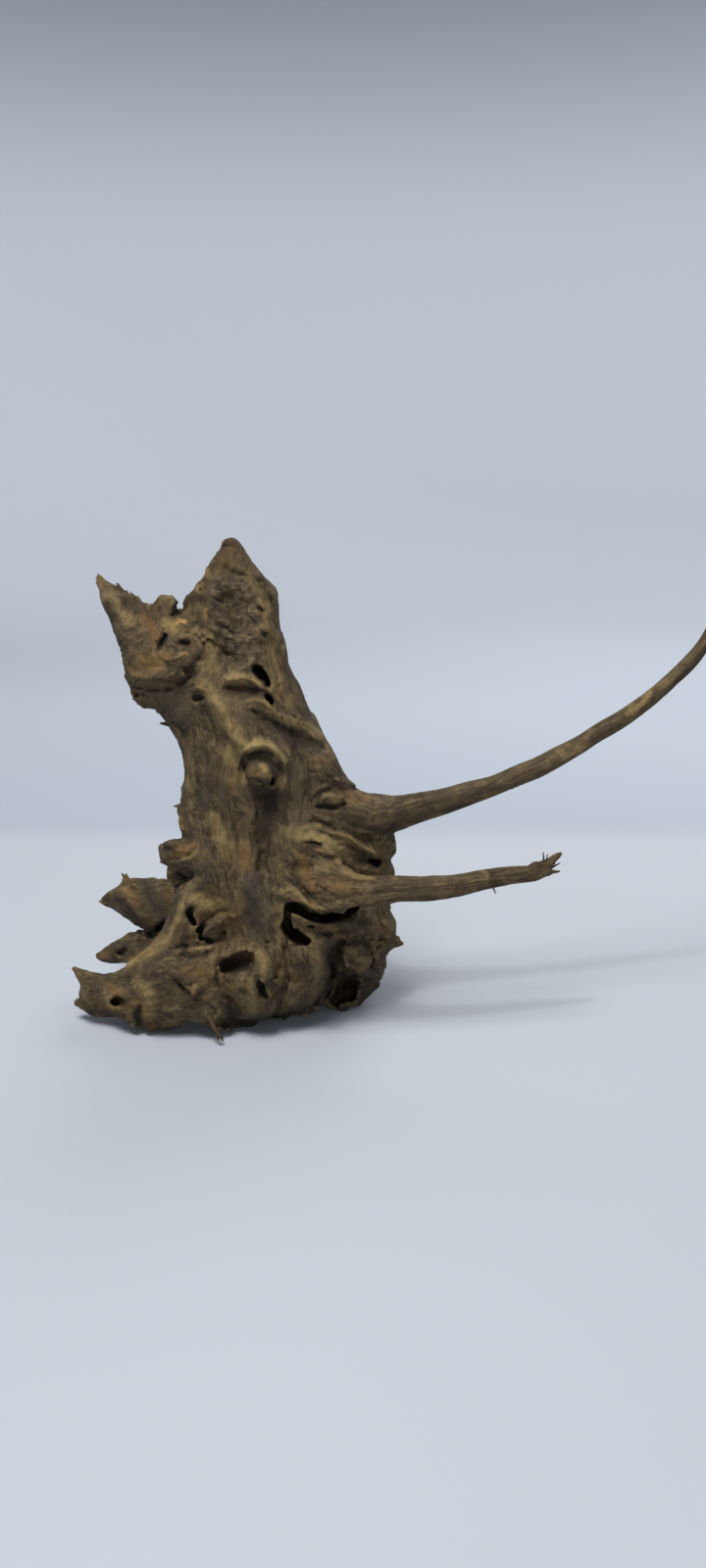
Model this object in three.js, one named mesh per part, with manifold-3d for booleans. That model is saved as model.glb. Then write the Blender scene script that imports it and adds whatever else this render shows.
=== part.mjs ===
// A weathered stump of driftwood, grown as one piece: a leaning trunk with a peak and a horn,
// two thin branches on its right, and a gnarled base of short roots that it stands on.
// Millimetres, +Z up. The origin is on the ground under the trunk, X runs along the branches
// and Y runs from the front to the back.
import * as THREE from "three";
import Module from "manifold-3d";
import { mergeVertices } from "three/addons/utils/BufferGeometryUtils.js";

// Driving sizes
const CELL = 2.4; // spacing of the grid that the wood's surface is drawn from
const LOW = [-122, -62, -10];
const HIGH = [312, 112, 318];
const TRIANGLES = 11000;
const WANDER = 1.4; // how far the wood's lines stray from smooth curves
const WANDER_LENGTH = 58;
const BRANCH_START = 80; // the branches, from this X on, stray less
const BRANCH_CALM = 0.25;
const FAR_OFF = 30;

// Limbs: each is a chain of balls [x, y, z, radius] joined by a smooth taper. "blend" is how
// widely it melts into the rest, and "depth" squeezes it from front to back.
const TRUNK = [
  { name: "left column", blend: 14, depth: 0.9, balls: [
    [-7, 3, 37, 26.5], [-11, -2, 76, 24], [-13, -6, 110, 22], [-14, -7, 142, 21.5],
    [-13, -8, 170, 20.2], [-16, -7, 194, 21.2], [-24, -7, 214, 23], [-36, -7, 233, 23],
    [-50.5, -5, 247, 19], [-60, -3, 260, 12], [-69, -2, 269.5, 7.5], [-74, -1, 275.5, 4.2],
    [-77, -1, 279, 2.8], [-79, -1, 283, 2.3], [-80, -1, 285.5, 1.5]] },
  { name: "bulge under the horn", blend: 6, depth: 0.9, balls: [
    [-36, -12, 239, 18.5], [-50.5, -12, 232, 15.5]] },
  { name: "ledge under the horn", blend: 4, depth: 0.9, balls: [
    [-42, -6, 221, 11.5], [-52, -6, 217, 9]] },
  { name: "centre column", blend: 14, depth: 0.9, balls: [
    [23, 0, 35, 31.5], [21, -4, 76, 31], [18, -8, 114, 28], [15, -11, 149, 25.5],
    [11, -13, 177, 23.5], [8, -12, 201, 23], [2, -9, 224, 22], [-1, -6, 247, 19.5],
    [-3, -3, 266, 16.5], [-4, 0, 281, 11.5], [-3, 0, 294, 6.5], [-3, 0, 303, 3]] },
  { name: "right column", blend: 12, depth: 0.95, balls: [
    [59, 15, 49, 28.5], [57, 12, 87, 27.5], [53, 8, 117, 26.5], [46, 5, 143, 25],
    [39, 4, 167, 22.8], [32, 3, 189, 18.2], [24, 2, 210, 14.2], [19, 2, 231, 11.6],
    [17, 2, 252, 11.5], [15, 2, 269, 11], [8, 1, 281, 9.5], [3, 1, 292, 6], [-1, 0, 302, 3]] },
  { name: "back left column", blend: 16, depth: 1, balls: [
    [-10, 43, 31, 27], [-11, 32, 83, 26], [-10, 24, 139, 21.5], [-13, 20, 179, 18.5],
    [-21, 12, 217, 15.5], [-36, 6, 239, 12]] },
  { name: "back right column", blend: 16, depth: 1, balls: [
    [43, 48, 32, 30], [39, 40, 80, 30], [31, 28, 138, 26.5], [21, 22, 184, 19.5],
    [9, 16, 223, 15.5], [4, 11, 253, 12], [0, 6, 277, 7]] },
  { name: "shoulder of the peak", blend: 5, depth: 0.8, balls: [
    [-18, -2, 255, 13], [-20, -1, 268, 7.5], [-14, 0, 281, 5], [-8, 0, 293, 4.5]] },
  { name: "corner by the notch", blend: 3, depth: 0.9, balls: [
    [-22, -2, 262, 8], [-25, -2, 271.5, 4]] },
  { name: "bump by the notch", blend: 4, depth: 1, balls: [
    [-30, -4, 253, 11], [-40, -5, 256, 9], [-39, -3, 268, 6.8]] },
  { name: "stub on the left", blend: 4, depth: 0.9, balls: [
    [-22, -8, 104, 16], [-34, -11, 113, 11.5], [-42, -13, 119, 9]] },
  { name: "swelling under the stub", blend: 5, depth: 0.9, balls: [
    [-27, 8, 88, 17.5], [-40, 8, 96, 10.5]] },
  { name: "nub on the left edge", blend: 3, depth: 1, balls: [
    [-25, -8, 137, 12], [-34, -9, 144, 3.5]] },
];
const ROOTS = [
  { name: "front left root", blend: 9, depth: 0.8, balls: [
    [-10, -8, 38, 26], [-34, -12, 32, 26], [-57, -14, 23.5, 22.5], [-75, -9, 20, 14],
    [-88, -5, 21, 12.5], [-94, -4, 20, 11]] },
  { name: "crest of the front root", blend: 7, depth: 0.9, balls: [
    [-22, -10, 95, 14.5], [-34, -10, 72, 12.5], [-49, -10, 50, 11], [-67, -9, 36, 9],
    [-83, -6, 27, 7.5]] },
  { name: "upper tip of the front root", blend: 3, depth: 0.9, balls: [
    [-90, -4, 27, 8.5], [-100, -3, 30, 5.5], [-107, -2, 34, 3], [-111, -2, 38.5, 1.2]] },
  { name: "lower tip of the front root", blend: 3, depth: 0.9, balls: [
    [-84, -5, 17, 9], [-93, -4, 12, 7], [-100, -3, 11.5, 4.5], [-107, -2, 11.5, 2.5]] },
  { name: "back upper root", blend: 9, depth: 0.55, balls: [
    [-24, 34, 63, 24.5], [-47, 44, 62, 21.5], [-66, 52, 59.5, 19], [-80, 57, 60.5, 13],
    [-90, 60, 61.5, 8], [-95, 60, 60.5, 4.5]] },
  { name: "spike of the back upper root", blend: 3, depth: 1, balls: [
    [-81, 59, 67, 5.5], [-84.5, 60, 73, 2.4], [-86, 60, 77.5, 1.4]] },
  { name: "tip of the back upper root", blend: 3, depth: 1, balls: [
    [-93, 60, 60, 3.5], [-98.5, 60, 59, 1.8], [-102, 60, 59.5, 1]] },
  { name: "back lower root", blend: 8, depth: 0.7, balls: [
    [-29, 36, 29, 21], [-56, 47, 27, 16.5], [-74, 52, 27, 12], [-87, 55, 26, 10.3],
    [-95, 56, 23.5, 7.5], [-102, 57, 21, 4], [-106.5, 57, 21.5, 1.8]] },
  { name: "front lobe, middle", blend: 6, depth: 0.9, balls: [
    [10, -18, 48, 23], [8, -14, 27, 22]] },
  { name: "front lobe, right", blend: 6, depth: 0.9, balls: [
    [34, -17, 60, 20.5], [33, -12, 45, 18.5]] },
  { name: "front lobe, left", blend: 6, depth: 0.9, balls: [
    [-15, -15, 45, 22], [-20, -14, 24, 22]] },
  { name: "foot under the trunk", blend: 8, depth: 1, balls: [[0, 2, 40, 26], [0, 2, 22, 24]] },
  { name: "back foot", blend: 12, depth: 1, balls: [[10, 45, 50, 33], [-4, 66, 21, 23]] },
  { name: "back right foot", blend: 12, depth: 1, balls: [[50, 40, 52, 30.5], [68, 58, 18, 20]] },
  { name: "right lobe, top", blend: 5, depth: 0.9, balls: [
    [71, 16, 72, 21.5], [85.5, 22, 52, 14]] },
  { name: "right lobe, low", blend: 6, depth: 0.9, balls: [
    [57, 26, 31, 25], [67, 25, 32, 25.5], [64, 22, 15, 16]] },
  { name: "nub of the right lobe", blend: 2, depth: 1, balls: [
    [91, 23, 43, 6.5], [98, 23, 43, 3.5], [102, 23, 43, 2]] },
  { name: "bulge of the right lobe", blend: 4, depth: 0.9, balls: [
    [64, 4, 52, 11.5], [72, -2, 47, 12]] },
  { name: "tongue in the hollow", blend: 2.5, depth: 0.9, balls: [
    [77, 0, 65, 11], [61, -14, 71, 8], [45, -24, 77, 6], [35, -28, 83, 3.5]] },
];
const BRANCHES = [
  { name: "lower branch", blend: 9, depth: 1, balls: [
    [28, -12, 105, 18], [46, -21, 102, 16], [63, -28, 100, 12], [79, -31, 100, 9.5],
    [97, -31, 101, 8.6], [117, -29, 101, 7.8], [135, -27, 103, 7], [161, -23, 106, 6],
    [179, -21, 108, 5.5], [187, -20, 111, 4.5]] },
  { name: "splinter of the lower branch", blend: 2, depth: 1, balls: [
    [181, -21, 112, 4], [187, -20, 114, 3], [193, -19, 118, 2.5], [196, -19, 120, 1.5]] },
  { name: "upper branch", blend: 9, depth: 1, balls: [
    [52, 2, 138, 22.5], [74, 3, 136, 16], [90, 4, 137, 12.5], [105, 4, 141, 10.5],
    [122, 5, 144.5, 9.2], [137, 6, 149, 8], [155, 7, 155, 7], [173, 8, 162, 7],
    [192, 10, 170, 6.5], [216, 12, 184, 6], [240, 14, 199, 5.5], [258, 16, 214, 5],
    [275, 18, 229, 5], [284, 19, 240, 4.5], [290, 20, 252, 4.5], [295, 21, 268, 4],
    [298, 22, 282, 3.5], [299, 22, 295, 2.5], [300, 22, 303, 1]] },
  { name: "web between the branches", blend: 7, depth: 0.9, balls: [
    [61, 5, 122, 22], [76, 7, 114, 17.5], [85, 10, 100, 10.5]] },
  { name: "upper nub of the web", blend: 3, depth: 1, balls: [
    [84, 6, 124, 9], [91, 6, 121, 6.5], [93, 9, 113, 5.5]] },
  { name: "lower nub of the web", blend: 3, depth: 1, balls: [
    [86, 8, 100, 8.5], [92, 10, 98, 5.5]] },
];
// The heart of the base is one ball, stretched along X and flattened.
const HEART = { middle: [22, 24, 34], reach: [53, 42, 30], blend: 14 };

// Folds stand out of the surface. They are added after the limbs.
const FOLDS = [
  { name: "rim of the knot", blend: 5, balls: [
    [16, -30, 158, 3.5], [5, -30, 162, 4], [1, -29, 172, 4.5], [4, -29, 184, 5],
    [15, -30, 190, 5.5], [27, -28, 185, 5], [31, -25, 173, 4.5], [27, -28, 162, 4],
    [16, -30, 158, 3.5]] },
  { name: "fold beside the slits", blend: 3, balls: [
    [-3, -26, 228, 4], [9, -28, 228, 4], [17, -25, 222, 3.5]] },
  { name: "fold below the slits", blend: 3, balls: [
    [9, -30, 211, 4], [18, -29, 207, 4.5], [32, -21, 198, 4.5], [45, -12, 186, 4]] },
  { name: "fold right of the knot", blend: 4, balls: [
    [28, -26, 190, 4], [39, -19, 180, 4.5], [50, -16, 168, 4]] },
  { name: "lid of the second knot", blend: 3, balls: [
    [44, -18, 158, 4], [55, -17, 161, 4.5], [64, -11, 156, 4]] },
  { name: "lip under the second knot", blend: 3, balls: [
    [48, -20, 147, 4], [61, -19, 144, 4.5], [73, -14, 145, 4]] },
  { name: "fold on the web", blend: 4, balls: [
    [42, -22, 132, 4.5], [62, -17, 126, 4.5], [78, -9, 119, 4], [87, -2, 110, 4]] },
  { name: "top of the branch swirl", blend: 4, balls: [
    [33, -28, 122, 4.5], [47, -26, 119, 4.5], [61, -32, 113, 4], [73, -34, 108, 4]] },
  { name: "lip of the branch swirl", blend: 3, balls: [
    [26, -31, 101, 4], [36, -34, 99, 4.5], [47, -35, 93, 4], [62, -37, 93, 3.5]] },
  { name: "fold of the front root", blend: 4, balls: [
    [-49, -24, 48, 4], [-36, -31, 43, 4.5], [-27, -34, 36, 4]] },
  { name: "rim of the left pocket", blend: 3, balls: [
    [-34, -22, 86, 4], [-24, -23, 89, 4], [-12, -24, 86, 4]] },
  { name: "lump beside the pocket", blend: 3, balls: [
    [-24, -20, 68, 5.5], [-12, -21, 74, 5]] },
  { name: "brow under the horn", blend: 4, balls: [
    [-55, -24, 229, 4], [-40, -29, 229, 4.5], [-28, -28, 234, 4], [-21, -22, 242, 4]] },
  { name: "knot on the back", blend: 5, balls: [
    [10, 42, 150, 9], [11, 50, 153, 7]] },
  { name: "long fold on the back", blend: 6, balls: [
    [-12, 46, 120, 7], [-16, 40, 150, 6], [-16, 33, 182, 5], [-24, 24, 212, 4]] },
  { name: "second fold on the back", blend: 6, balls: [
    [50, 62, 96, 8], [43, 55, 128, 7], [33, 45, 158, 5], [22, 37, 186, 4]] },
  { name: "fold across the back foot", blend: 5, balls: [
    [-22, 62, 62, 6], [2, 74, 56, 7], [26, 76, 62, 6], [44, 70, 74, 5]] },
];
// The stub of a lost twig sits in the middle of the round knot.
const KNOT_STUB = { name: "stub of the knot", blend: 2.5, balls: [
  [16, -26, 172, 10], [16, -32, 172.5, 9.5], [16, -35, 172.5, 8]] };

// Hollows are cut out of the surface after the folds.
const HOLLOWS = [
  { name: "groove round the knot", blend: 2, balls: [
    [8, -38, 166, 1.5], [5, -38, 174, 1.5], [7, -39, 182, 2], [15, -41, 186, 2.5],
    [24, -38, 183, 2], [27, -35, 175, 1.5], [24, -37, 166, 1.5]] },
  { name: "hollow below the knot", blend: 8, balls: [[18, -46, 146, 11], [25, -46, 126, 10]] },
  { name: "upper slit", blend: 2, balls: [
    [16, -22, 232, 3], [18, -19, 227, 4], [22, -15, 221, 3]] },
  { name: "lower slit", blend: 1.5, balls: [[21, -22, 218, 2.5], [24, -19, 212, 2.5]] },
  { name: "groove above the fold", blend: 2.5, balls: [
    [1, -32, 221, 3], [9, -31, 219, 3.5], [17, -27, 215, 3]] },
  { name: "groove below the fold", blend: 3, balls: [
    [18, -36, 199, 4], [30, -29, 190, 4.5], [42, -21, 177, 4]] },
  { name: "left eye", blend: 1.5, balls: [[-37, -31, 250, 2.5], [-39, -17, 247, 2]] },
  { name: "right eye", blend: 1.5, balls: [[-25, -29, 247, 3], [-27, -15, 245, 2.5]] },
  { name: "hole under the brow", blend: 2, balls: [[-18, -34, 218, 4.5], [-21, -18, 214, 3]] },
  { name: "hole in the stub", blend: 1.5, balls: [[-46, -23, 125, 3], [-40, -14, 121, 3]] },
  { name: "hollow beside the stub", blend: 4, balls: [[-41, -5, 98, 6], [-30, -26, 106, 6]] },
  { name: "left pocket", blend: 2, balls: [
    [-30, -27, 82, 3.5], [-29, -23, 74, 4.5], [-28, -22, 64, 3]] },
  { name: "middle pocket", blend: 2.5, balls: [
    [-5, -36, 55, 6.5], [4, -37, 57, 6.5], [0, -26, 51, 6]] },
  { name: "hole in the front root", blend: 1.5, balls: [[-75, -30, 25, 3.5], [-77, -16, 20, 3]] },
  { name: "gash in the front root", blend: 2, balls: [[-63, -34, 18, 3], [-61, -33, 9, 3]] },
  { name: "undercut of the front root", blend: 4, balls: [[-84, -22, 6, 5], [-76, -30, 9, 5]] },
  { name: "slot in the front lobe", blend: 1.5, balls: [[13, -41, 46, 2.5], [16, -38, 34, 3]] },
  { name: "top of the dark hollow", blend: 2, balls: [
    [29, -32, 92, 4], [35, -25, 88, 4], [43, -18, 80, 4], [54, -14, 78, 4],
    [65, -8, 78, 3.5], [74, -6, 79, 3]] },
  { name: "left of the dark hollow", blend: 2, balls: [
    [29, -32, 89, 4.5], [30, -30, 80, 4.5], [34, -29, 71, 4.5], [45, -29, 66, 3]] },
  { name: "depth of the dark hollow", blend: 2, balls: [
    [32, -16, 80, 8], [44, -7, 70, 8], [56, -3, 70, 8]] },
  { name: "gap between the lobes", blend: 2.5, balls: [
    [59, -14, 58, 4], [57, -11, 48, 6], [57, -6, 34, 7], [58, 2, 18, 7.5], [60, 4, 8, 6.5]] },
  { name: "cave under the bulge", blend: 2.5, balls: [[66, -6, 30, 8], [70, 6, 24, 8]] },
  { name: "hole in the bulge", blend: 1.5, balls: [[72, -15, 53, 3], [72, -8, 49, 2.5]] },
  { name: "hole in the right lobe", blend: 1.5, balls: [[89, 10, 33, 3], [86, 18, 30, 2.5]] },
  { name: "hole in the web", blend: 1.5, balls: [[80, -12, 111, 3.5], [82, 2, 106, 3]] },
  { name: "hollow of the second knot", blend: 1.5, balls: [
    [58, -19, 151, 3], [65, -15, 149, 3.5], [71, -13, 151, 2.5]] },
  { name: "groove on the web", blend: 2.5, balls: [
    [48, -26, 127, 3], [64, -23, 120, 3], [78, -16, 112, 3]] },
  { name: "face of the peak", blend: 4, balls: [[3, -37, 251, 21], [1, -28, 271, 18]] },
  { name: "notch by the horn", blend: 1.5, balls: [
    [-27, -32, 284, 4], [-30, -8, 276, 2], [-34, 22, 279, 4]] },
  { name: "notch of the right lobe", blend: 3, balls: [[99, 8, 67, 5], [98, 32, 67, 5]] },
  { name: "hole in the back root", blend: 1.5, balls: [[-87, 43, 28, 3.5], [-88, 49, 25, 3]] },
  { name: "hollow up the back", blend: 6, balls: [
    [14, 62, 96, 10], [8, 54, 122, 8], [2, 44, 170, 5], [-2, 36, 200, 4]] },
  { name: "groove round the back knot", blend: 3, balls: [
    [-1, 46, 148, 3], [4, 48, 162, 3], [16, 49, 162, 3], [22, 52, 150, 3],
    [14, 53, 139, 3], [3, 50, 141, 3], [-1, 46, 148, 3]] },
  { name: "cave in the back foot", blend: 4, balls: [[24, 86, 40, 9], [22, 66, 36, 7]] },
  { name: "hole in the back", blend: 2, balls: [[38, 78, 100, 5], [36, 60, 98, 4]] },
  { name: "groove on the back root", blend: 4, balls: [
    [-30, 66, 48, 5], [-52, 68, 46, 4], [-72, 66, 44, 3]] },
];

// A grid of signed distances, negative inside the wood. Each grid point also has the place
// that it looks the shapes up at, which strays a little so that no line stays smooth.
class Field {
  constructor() {
    this.count = LOW.map((low, i) => Math.ceil((HIGH[i] - low) / CELL) + 1);
    const [nx, ny, nz] = this.count;
    const total = nx * ny * nz;
    this.value = new Float32Array(total).fill(FAR_OFF);
    this.look = [0, 1, 2].map(() => new Float32Array(total));
    for (let i = 0, at = 0; i < nx; i++)
      for (let j = 0; j < ny; j++)
        for (let k = 0; k < nz; k++, at++) {
          const place = this.place(i, j, k);
          const stray = wander(...place);
          for (let axis = 0; axis < 3; axis++) this.look[axis][at] = place[axis] + stray[axis];
        }
  }
  place(i, j, k) {
    return [LOW[0] + i * CELL, LOW[1] + j * CELL, LOW[2] + k * CELL];
  }
  index(i, j, k) {
    return (i * this.count[1] + j) * this.count[2] + k;
  }
  // The grid's index range that holds a box.
  range(low, high) {
    const spare = WANDER * 2;
    return low.map((value, axis) => [
      Math.max(0, Math.floor((value - spare - LOW[axis]) / CELL)),
      Math.min(this.count[axis] - 1, Math.ceil((high[axis] + spare - LOW[axis]) / CELL)),
    ]);
  }
  // Calls visit(index) on every grid point of a range.
  each([[i0, i1], [j0, j1], [k0, k1]], visit) {
    for (let i = i0; i <= i1; i++)
      for (let j = j0; j <= j1; j++)
        for (let k = k0; k <= k1; k++) visit(this.index(i, j, k));
  }
}

function wander(x, y, z) {
  const turn = (2 * Math.PI) / WANDER_LENGTH;
  const fine = 2.3 * turn;
  const free = 1 / (1 + Math.exp((x - BRANCH_START) / 9));
  const size = WANDER * (BRANCH_CALM + (1 - BRANCH_CALM) * free);
  return [
    size * (Math.sin(turn * (y * 1.1 + z * 0.9) + 1.3) + 0.5 * Math.sin(fine * (z * 0.8 - y * 0.7) + 0.4)),
    size * (Math.sin(turn * (x * 0.9 + z * 1.1) + 2.1) + 0.5 * Math.sin(fine * (x * 0.8 + z * 0.6) + 1.9)),
    size * (Math.sin(turn * (x * 1.2 - y * 0.8) + 0.7) + 0.5 * Math.sin(fine * (x * 0.9 + y * 0.9) + 2.8)),
  ];
}

// The smaller of two distances, rounded off where they are within "blend" of each other.
function melt(a, b, blend) {
  const overlap = Math.max(blend - Math.abs(a - b), 0) / blend;
  return Math.min(a, b) - overlap * overlap * blend * 0.25;
}

// The chain of balls with more balls between them, on a smooth curve through the given ones.
function smoothChain(balls) {
  const BETWEEN = 4;
  const SMALLEST = 0.8;
  if (balls.length < 3) return balls;
  const last = balls.length - 1;
  const before = balls[0].map((value, i) => 2 * value - balls[1][i]);
  const after = balls[last].map((value, i) => 2 * value - balls[last - 1][i]);
  const all = [before, ...balls, after];
  const curve = [];
  for (let n = 1; n <= last; n++)
    for (let step = 0; step < BETWEEN; step++) {
      const t = step / BETWEEN;
      curve.push(all[n].map((here, i) => {
        const [previous, next, beyond] = [all[n - 1][i], all[n + 1][i], all[n + 2][i]];
        return 0.5 * (2 * here + (next - previous) * t
          + (2 * previous - 5 * here + 4 * next - beyond) * t * t
          + (3 * here - previous - 3 * next + beyond) * t ** 3);
      }));
    }
  curve.push(balls[last]);
  return curve.map(([x, y, z, radius]) => [x, y, z, Math.max(radius, SMALLEST)]);
}

// Works out the distance to a chain near it, then hands each value to combine(index, distance).
function nearChain(field, { balls, depth = 1, blend }, combine) {
  const curve = smoothChain(balls);
  const reach = blend + 3;
  const found = new Map();
  const [lookX, lookY, lookZ] = field.look;
  for (let n = 0; n + 1 < curve.length; n++) {
    const [a, b] = [curve[n], curve[n + 1]];
    const along = [b[0] - a[0], b[1] - a[1], b[2] - a[2]];
    const length2 = Math.max(along[0] ** 2 + along[1] ** 2 + along[2] ** 2, 1e-9);
    const low = [0, 1, 2].map((i) => Math.min(a[i] - a[3], b[i] - b[3]) - reach);
    const high = [0, 1, 2].map((i) => Math.max(a[i] + a[3], b[i] + b[3]) + reach);
    field.each(field.range(low, high), (at) => {
      const [x, y, z] = [lookX[at] - a[0], lookY[at] - a[1], lookZ[at] - a[2]];
      const share = (x * along[0] + y * along[1] + z * along[2]) / length2;
      const t = Math.min(1, Math.max(0, share));
      const offY = (y - t * along[1]) / depth;
      const away = Math.hypot(x - t * along[0], offY, z - t * along[2]);
      const distance = away - (a[3] + t * (b[3] - a[3]));
      const known = found.get(at);
      if (known === undefined || distance < known) found.set(at, distance);
    });
  }
  for (const [at, distance] of found) combine(at, distance);
}

function addHeart(field) {
  const { middle, reach, blend } = HEART;
  const low = middle.map((value, i) => value - reach[i] - blend);
  const high = middle.map((value, i) => value + reach[i] + blend);
  field.each(field.range(low, high), (at) => {
    const unit = middle.map((value, i) => (field.look[i][at] - value) / reach[i]);
    const size = Math.hypot(...unit);
    const slope = Math.hypot(...unit.map((value, i) => value / reach[i])) + 1e-6;
    field.value[at] = melt(field.value[at], (size * (size - 1)) / slope, blend);
  });
}

function shapeField() {
  const field = new Field();
  const grow = (chain) => nearChain(field, chain, (at, distance) => {
    field.value[at] = melt(field.value[at], distance, chain.blend);
  });
  const cut = (chain) => nearChain(field, chain, (at, distance) => {
    field.value[at] = -melt(-field.value[at], distance, chain.blend);
  });
  [...TRUNK, ...ROOTS, ...BRANCHES].forEach(grow);
  addHeart(field);
  FOLDS.forEach(grow);
  HOLLOWS.forEach(cut);
  grow(KNOT_STUB);
  return field;
}

// Makes sure that the grid's inside is one body with no sealed hollow, and that no two of its
// cells meet at a bare edge or corner, so that the surface round it is closed everywhere.
function mendField(field) {
  const { count, value } = field;
  const [nx, ny, nz] = count;
  const steps = [ny * nz, nz, 1];
  const fill = (at) => {
    value[at] = -0.1 * CELL;
  };
  const inside = (at) => value[at] < 0;

  // Crossed squares and cubes with two opposite corners get one more inside point.
  const crossed = (at, u, v) => inside(at) === inside(at + u + v)
    && inside(at + u) === inside(at + v) && inside(at) !== inside(at + u);
  const lower = (a, b) => (value[a] < value[b] ? a : b);
  const corners = [];
  for (let c = 0; c < 8; c++)
    corners.push((c & 1 ? steps[0] : 0) + (c & 2 ? steps[1] : 0) + (c & 4 ? steps[2] : 0));
  let changed = true;
  while (changed) {
    changed = false;
    for (let i = 0; i < nx - 1; i++)
      for (let j = 0; j < ny - 1; j++)
        for (let k = 0; k < nz - 1; k++) {
          const at = field.index(i, j, k);
          for (const [u, v] of [[steps[0], steps[1]], [steps[1], steps[2]], [steps[0], steps[2]]])
            if (crossed(at, u, v)) {
              fill(inside(at) ? lower(at + u, at + v) : lower(at, at + u + v));
              changed = true;
            }
          const filled = corners.filter((c) => inside(at + c)).length;
          if (filled !== 2 && filled !== 6) continue;
          for (let c = 0; c < 4; c++) {
            const [a, b] = [at + corners[c], at + corners[7 - c]];
            if (inside(a) !== inside(b) || inside(a) !== (filled === 2)) continue;
            fill(filled === 2 ? at + corners[c ^ 1] : a);
            changed = true;
          }
        }
  }

  // Marks every point that can be reached from a start without leaving its side.
  const reached = new Uint8Array(value.length);
  const spread = (start, mark) => {
    const side = inside(start);
    const open = [start];
    reached[start] = mark;
    let size = 0;
    while (open.length) {
      const at = open.pop();
      size++;
      const [i, j, k] = [Math.floor(at / steps[0]), Math.floor(at / nz) % ny, at % nz];
      const next = [];
      if (i > 0) next.push(at - steps[0]);
      if (i < nx - 1) next.push(at + steps[0]);
      if (j > 0) next.push(at - steps[1]);
      if (j < ny - 1) next.push(at + steps[1]);
      if (k > 0) next.push(at - 1);
      if (k < nz - 1) next.push(at + 1);
      for (const n of next)
        if (!reached[n] && inside(n) === side) {
          reached[n] = mark;
          open.push(n);
        }
    }
    return size;
  };
  const [OUTSIDE, WOOD, SCRAP] = [1, 2, 3];
  spread(0, OUTSIDE);
  const heart = HEART.middle.map((v, axis) => Math.round((v - LOW[axis]) / CELL));
  spread(field.index(...heart), WOOD);
  for (let at = 0; at < value.length; at++) {
    if (reached[at]) continue;
    if (inside(at)) {
      spread(at, SCRAP);
      continue;
    }
    fill(at);
  }
  for (let at = 0; at < value.length; at++) if (reached[at] === SCRAP) value[at] = CELL;
}

// The closed surface of the field: one point in each grid cell that the surface crosses, and
// one square across each grid edge that it crosses.
function surfaceOf(field) {
  const { count, value } = field;
  const [nx, ny, nz] = count;
  const steps = [ny * nz, nz, 1];
  const edges = [];
  for (let axis = 0; axis < 3; axis++)
    for (let a = 0; a < 2; a++)
      for (let b = 0; b < 2; b++) {
        const from = [0, 0, 0];
        from[(axis + 1) % 3] = a;
        from[(axis + 2) % 3] = b;
        edges.push({ axis, from });
      }
  const pointOf = new Int32Array(value.length).fill(-1);
  const points = [];
  const faces = [];
  for (let i = 0; i < nx - 1; i++)
    for (let j = 0; j < ny - 1; j++)
      for (let k = 0; k < nz - 1; k++) {
        const at = field.index(i, j, k);
        const sum = [0, 0, 0];
        let crossings = 0;
        for (const { axis, from } of edges) {
          const start = at + from[0] * steps[0] + from[1] * steps[1] + from[2];
          const [a, b] = [value[start], value[start + steps[axis]]];
          if (a < 0 === b < 0) continue;
          crossings++;
          for (let n = 0; n < 3; n++) sum[n] += from[n] + (n === axis ? a / (a - b) : 0);
        }
        if (!crossings) continue;
        pointOf[at] = points.length;
        const [x, y, z] = field.place(i, j, k);
        points.push([x, y, z].map((low, n) => low + (sum[n] / crossings) * CELL));
      }
  for (let axis = 0; axis < 3; axis++) {
    const [u, v] = [steps[(axis + 1) % 3], steps[(axis + 2) % 3]];
    for (let i = 1; i < nx - 1; i++)
      for (let j = 1; j < ny - 1; j++)
        for (let k = 1; k < nz - 1; k++) {
          const at = field.index(i, j, k);
          const inside = value[at] < 0;
          if (inside === value[at + steps[axis]] < 0) continue;
          const ring = [at - u - v, at - v, at, at - u].map((cell) => pointOf[cell]);
          if (!inside) ring.reverse();
          faces.push([ring[0], ring[1], ring[2]], [ring[0], ring[2], ring[3]]);
        }
  }
  return { points, faces };
}

// The sum of squared distances to a set of planes, kept as ten numbers.
class PlaneSum {
  constructor() {
    this.terms = new Float64Array(10);
  }
  addPlane([a, b, c], d, weight) {
    const values = [a * a, a * b, a * c, a * d, b * b, b * c, b * d, c * c, c * d, d * d];
    values.forEach((value, i) => {
      this.terms[i] += value * weight;
    });
  }
  plus(other) {
    const sum = new PlaneSum();
    sum.terms.forEach((_, i) => {
      sum.terms[i] = this.terms[i] + other.terms[i];
    });
    return sum;
  }
  at([x, y, z]) {
    const [aa, ab, ac, ad, bb, bc, bd, cc, cd, dd] = this.terms;
    return aa * x * x + 2 * ab * x * y + 2 * ac * x * z + 2 * ad * x + bb * y * y
      + 2 * bc * y * z + 2 * bd * y + cc * z * z + 2 * cd * z + dd;
  }
  // The point with the least sum, or null where the planes don't fix one.
  best() {
    const [aa, ab, ac, ad, bb, bc, bd, cc, cd] = this.terms;
    const [m0, m1, m2] = [bb * cc - bc * bc, ac * bc - ab * cc, ab * bc - ac * bb];
    const whole = aa * m0 + ab * m1 + ac * m2;
    const size = aa + bb + cc;
    if (Math.abs(whole) < 1e-4 * size ** 3) return null;
    const [m3, m4, m5] = [aa * cc - ac * ac, ab * ac - aa * bc, aa * bb - ab * ab];
    return [
      -(m0 * ad + m1 * bd + m2 * cd) / whole,
      -(m1 * ad + m3 * bd + m4 * cd) / whole,
      -(m2 * ad + m4 * bd + m5 * cd) / whole,
    ];
  }
}

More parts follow.
